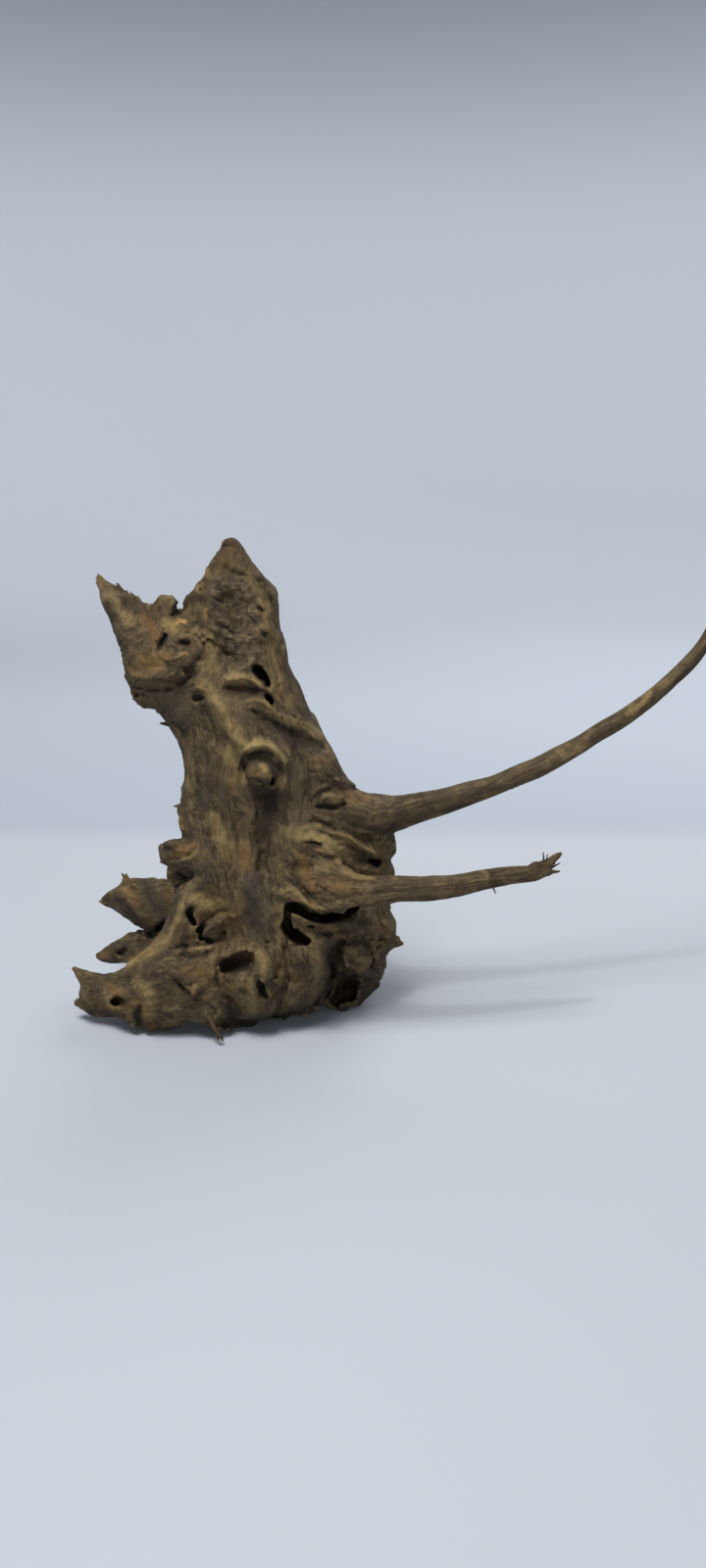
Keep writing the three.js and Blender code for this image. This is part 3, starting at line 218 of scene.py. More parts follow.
# Ridges and grooves: millimetres out or in, then (across, down, half-width).
MARKS = [
    (-1.8, [(180, 1003, 6), (193, 1009, 8)]),
    (-3.0, [(168, 865, 4.6), (173, 867, 4)]),
    (3.2, [(305, 865, 5), (318, 868, 7), (330, 869, 7), (338, 872, 5)]),
    (-3.6, [(168, 649, 3.4), (165, 655, 4.2), (161, 661, 3.4)]),
    (-3.8, [(184, 657, 4.6), (191, 658, 4.8)]),
    (-1.6, [(200, 674, 2.4), (205, 674, 2.4)]),
    (-4.0, [(199, 713, 5.4), (204, 713, 5.4)]),
    (-2.0, [(261, 683, 5), (268, 690, 5)]),
    (-3.0, [(230, 988, 10), (244, 990, 12)]),
    (-1.0, [(118, 971, 2.8), (124, 973, 3)]),
    (-1.8, [(264, 1001, 2.6), (268, 1009, 3.4), (273, 1020, 2.6)]),
    (-1.2, [(322, 813, 2.3), (330, 808, 2.3), (338, 806, 2.3)]),
    (1.5, [(317, 814, 2.3), (324, 807, 2.8), (334, 803, 3)]),
    (-2.4, [(204, 950, 2.3), (207, 957, 2.3), (216, 960, 2.3), (226, 958, 2.3), (230, 951, 2.3)]),
    (-2.2, [(166, 990, 8), (182, 1000, 9), (198, 1016, 10), (212, 1034, 9)]),
    (1.5, [(140, 1008, 12), (156, 1018, 13)]),
    (-1.6, [(234, 984, 13), (248, 983, 12)]),
    (3.4, [(212, 951, 8), (221, 945, 9)]),
    (-1.6, [(312, 945, 6), (328, 949, 8), (346, 950, 8), (362, 949, 7)]),
    (2.0, [(298, 932, 4), (312, 939, 6), (330, 943, 6), (350, 942, 5)]),
    (-3.6, [(334, 975, 5), (338, 990, 6), (334, 1008, 6), (324, 1022, 6)]),
    (-2.0, [(196, 930, 9), (206, 950, 12), (212, 972, 10)]),
    (-4.0, [(230, 1042, 10), (262, 1044, 10), (292, 1037, 11), (318, 1028, 9)]),
    (4.0, [(316, 976, 12), (322, 992, 13), (312, 1004, 10)]),
    (2.4, [(270, 978, 11), (272, 994, 9)]),
    (3.0, [(354, 968, 8), (364, 967, 9)]),
    (3.0, [(394, 946, 10), (398, 962, 9)]),
    (-3.0, [(292, 968, 6), (296, 985, 7), (290, 1008, 8), (284, 1026, 7)]),
    (-2.6, [(228, 962, 7), (224, 985, 8), (220, 1006, 7)]),
    (2.2, [(214, 838, 14), (222, 872, 16)]),
    (-2.2, [(198, 812, 9), (204, 834, 8)]),
    (2.0, [(222, 720, 12), (236, 748, 12)]),
    (-2.4, [(196, 735, 12), (200, 765, 10)]),
    (2.6, [(312, 770, 12), (330, 790, 12)]),
    (-2.4, [(312, 802, 8), (316, 826, 8)]),
    (2.0, [(322, 855, 10), (344, 866, 10)]),
    (-1.5, [(352, 872, 8), (370, 880, 8)]),
    (-1.2, [(108, 600, 1.5), (118, 622, 3), (126, 642, 3)]),
    (-1.2, [(130, 612, 2.5), (138, 630, 3.5), (136, 650, 3)]),
    (1.2, [(112, 612, 3), (124, 634, 4), (131, 655, 4)]),
    (1.2, [(160, 612, 3), (172, 608, 3.5), (178, 616, 2.5)]),
    (-1.5, [(150, 623, 1.8), (158, 625, 2), (168, 621, 2)]),
    (1.6, [(158, 652, 3), (165, 641, 4), (178, 635, 4), (190, 641, 3)]),
    (1.3, [(183, 654, 2.5), (192, 650, 3), (203, 655, 3), (206, 666, 2.5)]),
    (1.4, [(148, 660, 3), (158, 668, 4.5), (172, 672, 4.5), (184, 672, 3)]),
    (1.6, [(137, 690, 3), (152, 693, 4), (168, 691, 4), (180, 687, 3)]),
    (-3.0, [(134, 701, 2), (150, 703, 4), (170, 702, 4.5), (185, 696, 4.5), (198, 688, 4)]),
    (-1.6, [(172, 680, 3), (185, 684, 5), (196, 684, 4)]),
    (1.2, [(135, 712, 2.5), (146, 713, 3), (160, 718, 3)]),
    (-1.5, [(137, 707, 1.8), (147, 708, 2)]),
    (1.2, [(195, 706, 2.5), (203, 703, 2.5), (211, 707, 2.5), (214, 717, 2.5)]),
    (1.6, [(204, 694, 4), (215, 703, 6), (223, 716, 7), (229, 731, 8), (237, 746, 8), (246, 757, 7)]),
    (-1.2, [(208, 722, 3), (212, 731, 3)]),
    (-1.5, [(178, 735, 4), (186, 745, 5), (190, 760, 4)]),
    (-2.5, [(232, 582, 8), (238, 602, 18), (240, 628, 22), (245, 652, 20), (247, 672, 12)]),
    (1.2, [(244, 572, 4), (261, 597, 5), (270, 625, 5), (273, 652, 5)]),
    (1.6, [(205, 598, 3), (213, 589, 3.2), (212, 580, 2.2)]),
    (-1.2, [(238, 584, 1.6), (248, 588, 2), (257, 593, 1.6)]),
    (-1.6, [(224, 560, 1.8), (232, 557.5, 2), (239, 561, 1.6)]),
    (-2.0, [(266, 621, 2), (271, 628, 2)]),
    (1.3, [(261, 619, 2), (266, 626, 2)]),
    (-2.2, [(213, 653, 2), (227, 664, 3), (240, 674, 3)]),
    (1.4, [(227, 669, 2), (239, 679, 2.5), (250, 685, 2.2)]),
    (1.2, [(212, 640, 2), (223, 645, 3), (228, 656, 2)]),
    (-1.2, [(232, 612, 2), (243, 626, 2.5), (246, 642, 2)]),
    (1.2, [(222, 606, 2.2), (232, 624, 3), (236, 644, 2.6)]),
    (1.1, [(252, 610, 2.4), (256, 634, 3), (252, 656, 2.6)]),
    (2.3, [(230, 693, 3), (243, 691, 4), (256, 693, 4), (265, 698, 3.5), (272, 704, 2)]),
    (1.3, [(246, 677, 2), (256, 682, 3), (262, 688, 2)]),
    (-4.4, [(232, 703, 6), (246, 705, 8.5), (260, 706, 8)]),
    (2.1, [(251, 717, 2.5), (262, 714, 3.5), (271, 716, 3.5), (277, 724, 2)]),
    (1.1, [(255, 722, 2), (267, 724, 2.5)]),
    (1.2, [(278, 726, 2.4), (290, 731, 3), (303, 736, 3), (317, 742, 3), (328, 750, 3)]),
    (-2.6, [(258, 726, 3), (272, 734, 5), (286, 744, 6), (302, 751, 8), (318, 757, 8), (331, 764, 5)]),
    (1.1, [(284, 714, 3), (296, 727, 4), (311, 736, 3)]),
    (-1.3, [(291, 722, 2), (302, 733, 2.5), (313, 739, 2)]),
    (-0.9, [(274, 655, 3), (280, 680, 3), (284, 702, 2.5)]),
    (0.9, [(283, 688, 3), (292, 712, 3), (306, 735, 3)]),
    (2.4, [(241, 783, 3), (246, 770, 4.5), (256, 762, 5.5), (268, 759.5, 5.5), (280, 764, 5),
           (288, 774, 4), (291, 788, 3.5), (289, 803, 2.5)]),
    (-1.2, [(249, 778, 1.8), (255, 771, 2.3), (265, 767.5, 2.6), (275, 769.5, 2.3), (282, 776, 2),
            (284, 786, 1.6)]),
    (-1.4, [(250.5, 782, 1.6), (249.5, 793, 1.6), (254, 804, 1.8)]),
    (1.6, [(260, 785, 4), (267, 779, 4.5), (274, 787, 4)]),
    (-1.6, [(258, 795, 3), (265, 798, 3)]),
    (-1.6, [(255, 806, 3), (266, 809, 4), (279, 806, 3)]),
    (-1.0, [(237, 792, 2), (240, 776, 2.5), (247, 763, 2.4), (258, 755, 2)]),
    (-6.5, [(270, 816, 14), (272, 833, 17), (269, 851, 14), (268, 869, 9), (266, 886, 6)]),
    (1.2, [(300, 788, 6), (303, 820, 6), (300, 847, 6)]),
    (1.2, [(237, 800, 4), (236, 830, 5), (232, 862, 6), (236, 890, 5)]),
    (-1.2, [(228, 760, 3), (224, 790, 4), (222, 820, 4), (224, 842, 3)]),
    (1.2, [(212, 790, 4), (214, 830, 5), (215, 872, 5)]),
    (-1.0, [(201, 778, 3), (203, 800, 3), (201, 832, 3)]),
    (1.0, [(193, 788, 3), (195, 810, 3)]),
    (-1.4, [(206, 767, 2)]),
    (1.0, [(210, 762, 2), (216, 762, 2)]),
    (1.6, [(183, 836, 3), (185, 846, 4)]),
    (1.6, [(328, 816, 2.8), (338, 814, 3.6), (348, 814, 3)]),
    (-3.4, [(324, 823, 2.4), (336, 825, 4), (345, 824, 4.4), (352, 819, 3)]),
    (1.4, [(314, 829, 2.2), (326, 834, 3), (338, 838, 2.4)]),
    (-1.3, [(317, 840, 1.7), (326, 838.5, 1.7), (337, 841, 1.7)]),
    (1.1, [(311, 846, 3), (326, 845, 3), (341, 849, 3)]),
    (1.3, [(344, 795, 3), (356, 800, 3), (372, 803, 4)]),
    (-1.4, [(340, 801, 2), (352, 806, 2.2), (368, 807, 2)]),
    (-1.5, [(318, 787, 2), (327, 787, 2)]),
    (1.2, [(316, 776, 4), (330, 775, 5)]),
    (-1.7, [(329, 790, 3), (338, 795, 3), (342, 802, 2.6)]),
    (1.5, [(304, 859, 4), (318, 858, 5), (330, 864, 5), (340, 872, 4), (349, 880, 3)]),
    (-1.3, [(323, 870, 2.3), (331, 875, 2.3), (338, 880.5, 2.3), (345, 885.5, 2.3), (352, 889, 2.3)]),
    (2.0, [(336, 849, 3), (352, 855, 3.5), (364, 861, 3.5), (375, 868, 3), (386, 874, 2.5)]),
    (-2.3, [(344, 863, 2), (357, 866, 3), (370, 872, 3)]),
    (1.3, [(370, 887, 2.5), (380, 889, 2.5), (391, 889, 2.2)]),
    (1.2, [(350, 842, 3), (365, 848, 3.5), (383, 851, 3)]),
    (-1.4, [(358, 851, 2), (370, 855, 2.2), (386, 857, 2)]),
    (2.0, [(338, 885, 3), (350, 890, 4), (365, 896, 4), (382, 899, 4)]),
    (-2.2, [(319, 897, 2), (326, 906, 3), (334, 912, 3), (343, 916, 2)]),
    (2.3, [(288, 909, 3), (297, 908, 4), (305, 913, 4), (313, 921, 4), (322, 928, 4), (332, 930, 4),
           (343, 925, 3), (352, 922, 3), (361, 923, 2)]),
    (-1.3, [(304, 901, 3), (314, 912, 3), (324, 921, 3), (336, 923, 2.2)]),
    (-1.0, [(319, 874, 2), (317, 892, 2.2)]),
    (1.0, [(311, 874, 3), (311, 892, 3)]),
    (1.2, [(297, 935, 2), (310, 939, 2), (325, 943, 2.5), (341, 943, 2)]),
    (1.7, [(349, 939, 2), (358, 941, 2.4), (367, 948, 2)]),
    (1.8, [(364, 929, 3), (372, 931, 4)]),
    (-1.6, [(355, 977, 3.4), (364, 979, 4), (371, 986, 3)]),
    (1.2, [(368, 977, 4), (374, 982, 4)]),
    (-2.0, [(377, 963, 2.4), (380, 975, 3), (376, 986, 3)]),
    (2.2, [(393, 945, 5), (399, 951, 4)]),
    (-1.7, [(386, 958, 3), (397, 958, 3)]),
    (-1.7, [(376, 943, 3), (378, 958, 3)]),
    (1.5, [(390, 968, 4), (384, 976, 4)]),
    (1.6, [(319, 974, 6), (326, 986, 6), (325, 998, 5)]),
    (1.3, [(298, 984, 8), (300, 996, 7)]),
    (-1.4, [(304, 999, 2), (312, 1007, 2.5)]),
    (1.7, [(260, 965, 2), (260, 980, 2), (260, 997, 2)]),
    (1.2, [(269, 972, 6), (271, 988, 7)]),
    (-1.8, [(284, 985, 1.7), (281, 996, 1.8)]),
    (-1.4, [(261, 998, 1.7), (272, 997.5, 1.7), (281, 996, 1.6)]),
    (1.6, [(257, 1002, 2.5), (258, 1015, 3), (260, 1032, 4)]),
    (1.2, [(232, 1001, 3), (243, 1000, 3.5), (254, 1000, 3)]),
    (-1.5, [(249, 962, 1.7), (262, 962.5, 1.8), (281, 962, 1.7)]),
    (1.2, [(279, 944, 3), (285, 960, 4), (288, 979, 4)]),
    (-1.4, [(272, 1028, 3), (284, 1012, 4), (292, 1006, 3)]),
    (1.6, [(188, 921, 3), (182, 941, 4), (170, 958, 4), (150, 970, 4), (127, 985, 3)]),
    (-1.8, [(174, 970, 3), (184, 967, 3.6), (198, 964, 3.6), (214, 961, 3)]),
    (-1.8, [(178, 977, 3), (190, 976.5, 3.6), (203, 974, 3.6), (217, 969, 3)]),
    (-1.1, [(179, 983, 2.3), (193, 984.5, 2.3)]),
    (1.3, [(186, 971, 1.8), (198, 969.5, 2), (213, 965.5, 2)]),
    (1.3, [(189, 989, 3), (203, 985, 4), (215, 977, 3)]),
    (3.0, [(208, 953, 5), (218, 947, 7), (226, 941, 5)]),
    (-3.0, [(205, 944, 2.4), (213, 937, 3), (222, 932, 3.2), (231, 931, 2.4)]),
    (-2.2, [(204, 957, 2), (213, 958, 2.6), (222, 957, 2.6), (229, 950, 2.4)]),
    (1.1, [(232, 936, 4), (242, 938, 3)]),
    (-1.6, [(222, 957, 2), (229, 950, 2)]),
    (-2.2, [(213, 1026, 5), (221, 1038, 5), (228, 1048, 4)]),
    (1.3, [(142, 1005, 7), (150, 1016, 8), (152, 1036, 7)]),
    (-4.6, [(144, 1028, 3), (140, 1037, 5), (141, 1047, 5)]),
    (-1.2, [(129, 1024, 3)]),
    (-1.2, [(118, 1004, 5), (133, 998, 5)]),
    (1.0, [(82, 1000, 2.5), (84, 1016, 2.5)]),
    (-2.2, [(232, 1018, 6), (238, 1030, 7), (232, 1042, 5)]),
    (-1.2, [(183, 855, 3), (193, 855, 3)]),
    (1.6, [(176, 868, 2.5), (188, 869, 3), (198, 863, 3)]),
    (-1.4, [(172, 877, 1.8), (184, 876, 1.8), (195, 871, 1.7)]),
    (1.2, [(175, 881, 2), (188, 877.5, 2), (199, 871, 2)]),
    (-2.6, [(182, 890, 4), (192, 893, 6), (204, 893, 5)]),
    (-1.6, [(119, 918, 2), (130, 926, 2.5), (141, 937, 3)]),
    (1.3, [(127, 907, 5), (133, 919, 4)]),
    (-1.4, [(148, 906, 3), (155, 925, 4), (158, 936, 3)]),
    (1.2, [(143, 908, 3), (146, 926, 3)]),
    (1.2, [(165, 908, 3), (170, 925, 3)]),
    (-1.4, [(131, 963, 3), (144, 962, 3)]),
    (1.0, [(118, 963, 3), (128, 979, 3)]),
]
# Tints of the wood: kind, strength, then (across, down, half-width).
# The dark tints are partly the wood's own dark colour and partly painted shade in grooves, pits, hollows
# and undersides.
# The gold and pale tints are partly the wood's own colour and partly painted highlights on lit ridges and
# tops.
TINTS = [
    ("dark", 0.5, [(101, 588, 5), (103, 600, 4)]),
    ("dark", 0.5, [(120, 600, 4), (132, 612, 4), (138, 622, 4)]),
    ("dark", 0.4, [(108, 618, 4), (117, 640, 5), (122, 664, 7)]),
    ("gold", 0.4, [(112, 606, 5), (122, 622, 6), (134, 632, 6)]),
    ("rust", 0.6, [(145, 630, 5), (156, 640, 5), (158, 655, 5)]),
    ("gold", 0.9, [(170, 636, 5), (176, 640, 6)]),
    ("ochre", 1.0, [(178, 637, 1.6), (184, 633, 1.6), (190, 633, 1.6)]),
    ("rust", 1.0, [(185, 622, 3)]),
    ("ochre", 1.0, [(210, 622, 1.2), (210, 630, 1.2)]),
    ("ochre", 0.5, [(212, 582, 1.6), (209, 588, 1.6)]),
    ("ochre", 0.4, [(202, 599, 1.4), (206, 602, 1)]),
    ("gold", 0.8, [(200, 598, 3), (205, 602, 3)]),
    ("gold", 0.5, [(165, 611, 4), (174, 608, 4)]),
    ("gold", 0.6, [(192, 650, 6), (200, 646, 6)]),
    ("ochre", 0.8, [(184, 668, 0.8), (190, 668, 0.8)]),
    ("gold", 0.6, [(204, 677, 3)]),
    ("rust", 0.7, [(143, 672, 8), (158, 676, 9), (168, 668, 7)]),
    ("rust", 0.5, [(135, 686, 6), (148, 694, 5)]),
    ("dark", 0.4, [(175, 683, 6), (188, 686, 7), (198, 690, 5)]),
    ("ash", 0.6, [(140, 708, 6), (160, 710, 10), (180, 712, 12), (188, 728, 12)]),
    ("dark", 0.7, [(183, 740, 6), (188, 750, 6)]),
    ("dark", 0.5, [(206, 722, 5), (212, 730, 4)]),
    ("dark", 0.9, [(199, 713, 2.6), (204, 713, 2.6)]),
    ("dark", 1.0, [(168, 649, 1.8), (165, 655, 2.6), (161, 661, 1.8)]),
    ("dark", 1.0, [(185, 657, 2.8), (190, 658, 3)]),
    ("dark", 0.7, [(201, 674, 1), (205, 674, 1)]),
    ("gold", 0.9, [(203, 697, 4), (214, 705, 6), (223, 718, 7), (230, 733, 8), (240, 748, 8)]),
    ("crust", 1.0, [(222, 594, 9), (224, 622, 12), (232, 650, 12), (238, 672, 8)]),
    ("crust", 0.9, [(207, 953, 4), (217, 947, 6), (226, 941, 5)]),
    ("crust", 1.0, [(240, 592, 9), (250, 622, 13), (255, 650, 11), (253, 674, 7)]),
    ("dark", 0.35, [(222, 600, 12), (236, 628, 18), (246, 652, 16), (240, 674, 9)]),
    ("dark", 0.6, [(195, 609, 6), (206, 610, 6)]),
    ("gold", 0.35, [(232, 572, 8), (246, 584, 8), (256, 596, 6)]),
    ("rust", 0.5, [(233, 563, 7), (228, 575, 7)]),
    ("gold", 0.5, [(264, 600, 5), (273, 625, 5), (277, 655, 6), (283, 685, 6), (292, 712, 6)]),
    ("gold", 0.6, [(216, 645, 6), (214, 664, 7), (218, 684, 7)]),
    ("rust", 0.4, [(230, 700, 6), (246, 704, 8)]),
    ("gold", 1.0, [(231, 692, 3), (244, 691, 4), (257, 693, 4), (266, 698, 3)]),
    ("gold", 0.8, [(254, 716, 3), (263, 713, 4), (272, 717, 4), (278, 725, 3)]),
    ("dark", 0.8, [(236, 703, 6), (250, 706, 7), (265, 707, 6)]),
    ("rust", 0.6, [(282, 700, 4), (286, 710, 5)]),
    ("dark", 0.9, [(264, 730, 5), (276, 738, 7), (292, 748, 8), (308, 755, 9), (324, 762, 8)]),
    ("gold", 0.7, [(282, 729, 3), (296, 735, 4), (312, 741, 4), (326, 750, 4)]),
    ("pale", 0.8, [(241, 754, 6), (251, 761, 5), (265, 758, 5), (279, 763, 4), (288, 776, 3)]),
    ("gold", 0.8, [(288, 795, 4), (287, 803, 3)]),
    ("gold", 0.5, [(243, 785, 5), (246, 796, 5)]),
    ("dark", 0.9, [(254, 771, 2.5), (265, 768, 3), (276, 770, 2.5)]),
    ("grey", 0.7, [(258, 778, 6), (270, 774, 6), (280, 784, 5)]),
    ("ochre", 0.6, [(266, 780, 1.8), (270, 785, 2.6), (275, 792, 1.6), (277, 799, 1)]),
    ("rust", 0.9, [(257, 786, 4), (262, 792, 4)]),
    ("dark", 0.9, [(254, 796, 2.4), (262, 798, 4), (270, 804, 4)]),
    ("dark", 1.0, [(271, 815, 16), (274, 828, 17), (270, 846, 11)]),
    ("dark", 0.35, [(268, 868, 10), (266, 885, 8)]),
    ("rust", 0.4, [(266, 842, 6)]),
    ("ash", 0.8, [(300, 785, 8), (306, 815, 9), (304, 840, 9)]),
    ("gold", 0.7, [(216, 833, 6), (226, 852, 9), (232, 872, 9)]),
    ("gold", 0.5, [(232, 760, 6), (234, 775, 6)]),
    ("gold", 0.6, [(194, 795, 4), (194, 808, 4)]),
    ("dark", 0.5, [(203, 772, 8), (214, 780, 8), (210, 800, 8)]),
    ("grey", 0.5, [(204, 816, 8), (222, 800, 8), (228, 820, 6)]),
    ("rust", 0.9, [(183, 841, 5), (186, 847, 4)]),
    ("dark", 0.8, [(176, 968.5, 0.8), (195, 964.5, 1.4), (214, 961, 0.8)]),
    ("dark", 0.8, [(180, 977, 0.8), (198, 975, 1.4), (216, 970, 0.8)]),
    ("dark", 0.6, [(181, 983, 0.6), (193, 984, 0.6)]),
    ("dark", 0.8, [(204, 950, 1), (208, 958, 1), (218, 960, 1), (228, 956, 1), (230, 950, 1)]),
    ("dark", 1.0, [(118, 1024.5, 3), (124, 1025, 3)]),
    ("dark", 0.8, [(118, 971, 1.2), (124, 973, 1.4)]),
    ("gold", 0.4, [(186, 755, 5), (180, 750, 4)]),
    ("rust", 0.6, [(247, 862, 8), (250, 880, 8)]),
    ("rust", 0.6, [(323, 775, 6), (332, 774, 6)]),
    ("gold", 0.6, [(334, 812, 5), (344, 816, 4)]),
    ("dark", 0.8, [(322, 823, 1.5), (334, 825, 2.4), (345, 824, 2.4), (351, 820, 1.4)]),
    ("dark", 1.0, [(307, 865, 1), (315, 867, 1.8), (323, 869.5, 1.2)]),
    ("dark", 0.8, [(323, 870, 0.7), (331, 875, 0.8), (338, 880.5, 0.8), (346, 886, 0.7)]),
    ("rust", 0.5, [(356, 812, 8), (372, 812, 8)]),
    ("pale", 0.9, [(300, 850, 7), (318, 852, 8), (336, 860, 8), (350, 870, 6)]),
    ("gold", 0.8, [(340, 852, 4), (356, 857, 4), (370, 866, 4), (382, 873, 3)]),
    ("gold", 0.9, [(337, 884, 4), (348, 888, 5), (362, 893, 4), (380, 895, 3)]),
    ("rust", 0.8, [(308, 876, 7), (312, 890, 8), (318, 904, 7)]),
    ("rust", 0.5, [(330, 900, 8), (350, 905, 8)]),
    ("gold", 0.8, [(288, 911, 4), (297, 909, 4), (307, 915, 4), (318, 925, 4)]),
    ("dark", 0.5, [(354, 840, 8), (380, 842, 8), (400, 838, 8)]),
    ("dark", 0.8, [(372, 878, 5), (384, 881, 6)]),
    ("grey", 1.0, [(256, 900, 10), (260, 925, 11), (262, 948, 10)]),
    ("dark", 0.5, [(252, 915, 7), (256, 935, 8), (258, 950, 8)]),
    ("gold", 0.5, [(240, 905, 6), (246, 910, 5)]),
    ("gold", 0.6, [(284, 945, 4), (287, 965, 4)]),
    ("gold", 0.9, [(196, 916, 6), (214, 920, 6), (226, 922, 5)]),
    ("gold", 0.9, [(186, 926, 5), (180, 945, 6), (166, 960, 6), (148, 972, 5), (126, 986, 4)]),
    ("gold", 0.7, [(196, 970, 3), (210, 965, 4)]),
    ("rust", 0.7, [(192, 989, 5), (204, 990, 6), (214, 996, 5)]),
    ("gold", 0.6, [(218, 975, 6), (220, 990, 6)]),
    ("gold", 0.8, [(236, 1005, 3), (250, 1003, 4), (256, 1006, 4)]),
    ("gold", 0.9, [(263, 970, 4), (268, 982, 7), (272, 992, 6)]),
    ("gold", 0.6, [(258, 1012, 4), (258, 1030, 5)]),
    ("rust", 0.5, [(290, 990, 10), (300, 1000, 10)]),
    ("gold", 0.5, [(322, 975, 6), (326, 990, 6)]),
    ("dark", 1.0, [(231, 985, 9), (242, 985, 10), (251, 984, 8)]),
    ("dark", 0.9, [(226, 1022, 6), (236, 1034, 8), (240, 1044, 7)]),
    ("dark", 0.9, [(214, 1050, 6), (240, 1048, 7), (266, 1044, 8), (290, 1038, 8), (312, 1032, 8),
                   (332, 1026, 7)]),
    ("dark", 0.8, [(336, 1028, 6), (356, 1026, 6), (372, 1018, 6), (384, 1006, 6)]),
    ("dark", 0.6, [(160, 992, 8), (180, 1006, 10), (196, 1024, 10), (208, 1042, 8)]),
    ("dark", 0.5, [(112, 1000, 7), (134, 994, 8), (156, 992, 7)]),
    ("dark", 0.35, [(92, 1008, 10), (100, 1024, 9)]),
    ("dark", 0.5, [(176, 998, 8), (192, 1008, 9), (206, 1022, 9)]),
    ("dark", 0.4, [(120, 972, 12), (140, 968, 10)]),
    ("dark", 0.3, [(228, 566, 8), (236, 580, 10)]),
    ("gold", 0.6, [(142, 1004, 7), (152, 1016, 8), (152, 1032, 7)]),
    ("rust", 0.7, [(148, 1030, 5), (155, 1050, 4)]),
    ("dark", 0.9, [(140, 1034, 5), (141, 1044, 4)]),
    ("dark", 0.6, [(90, 1034, 5), (108, 1034, 5), (124, 1038, 4)]),
    ("rust", 0.5, [(112, 1006, 5), (120, 1014, 6)]),
    ("dark", 0.9, [(167, 864, 6), (173, 866, 5)]),
    ("rust", 1.0, [(178, 872, 4), (190, 867, 5), (198, 862, 4)]),
    ("gold", 0.7, [(188, 875, 3), (198, 869, 3)]),
    ("ash", 0.5, [(184, 890, 7), (196, 895, 9), (206, 894, 6)]),
    ("dark", 0.4, [(183, 854, 5), (193, 856, 5)]),
    ("grey", 0.8, [(152, 905, 10), (160, 922, 12), (164, 938, 8)]),
    ("dark", 0.4, [(150, 912, 9), (160, 930, 10)]),
    ("rust", 0.5, [(130, 906, 6), (138, 916, 6)]),
    ("grey", 0.5, [(136, 964, 8), (126, 968, 8)]),
    ("rust", 0.6, [(106, 974, 5)]),
    ("dark", 0.7, [(118, 918, 4), (134, 932, 5), (142, 944, 4)]),
    ("dark", 0.9, [(152, 952, 6), (162, 946, 6)]),
    ("dark", 0.9, [(336, 972, 6), (337, 992, 9), (338, 1012, 11), (330, 1026, 8)]),
    ("dark", 0.9, [(350, 1000, 9), (364, 1004, 11), (376, 1002, 9)]),
    ("dark", 0.8, [(350, 1024, 7), (366, 1020, 8), (378, 1010, 7)]),
    ("dark", 0.6, [(330, 948, 7), (346, 950, 8), (362, 950, 7)]),
    ("gold", 0.5, [(362, 970, 7)]),
    ("rust", 0.7, [(396, 948, 6)]),
    ("dark", 0.6, [(378, 992, 8), (372, 1010, 8)]),
    ("dark", 0.5, [(440, 826, 6), (410, 834, 6), (390, 834, 6)]),
    ("dark", 0.8, [(502, 898, 4), (505, 902, 3)]),
    ("dark", 0.5, [(545, 888, 5), (562, 880, 5), (570, 872, 5)]),
    ("gold", 0.9, [(641, 728, 1.5), (655, 716, 2), (664, 706, 1.5)]),
]

# Colours on the screen's scale of 0 to 255.
WOOD_DARK, WOOD_MID, WOOD_PALE = (44, 35, 25), (87, 72, 49), (132, 112, 76)
# Each tint: the least share of it that shows between the grain's lines, and its colour.
TINT_SHADES = {
    # gold: the wood's golden colour, and painted highlights on lit ridges
    "gold": (0.3, (146, 123, 78)),
    "rust": (0.3, (122, 90, 50)),
    "grey": (0.3, (66, 60, 52)),
    "crust": (0.6, (78, 66, 50)),
    "ochre": (0.6, (178, 140, 82)),
    "ash": (0.6, (106, 92, 70)),
    # pale: the wood's pale colour, and painted highlights on lit ridges and tops
    "pale": (0.6, (156, 134, 88)),
    # dark: the wood's dark colour, and painted shade in grooves, pits and undersides
    "dark": (0.6, (32, 25, 18)),
}
# What the material reads from the wood: hollow for painted shade in hollows, worn for edge wear, bent for
# the grain's sway, and the tints.
LOOKS = ("hollow", "worn", "bent", *TINT_SHADES)

LIGHT_PLACE = (-0.25, -0.62, 1.5)  # metres

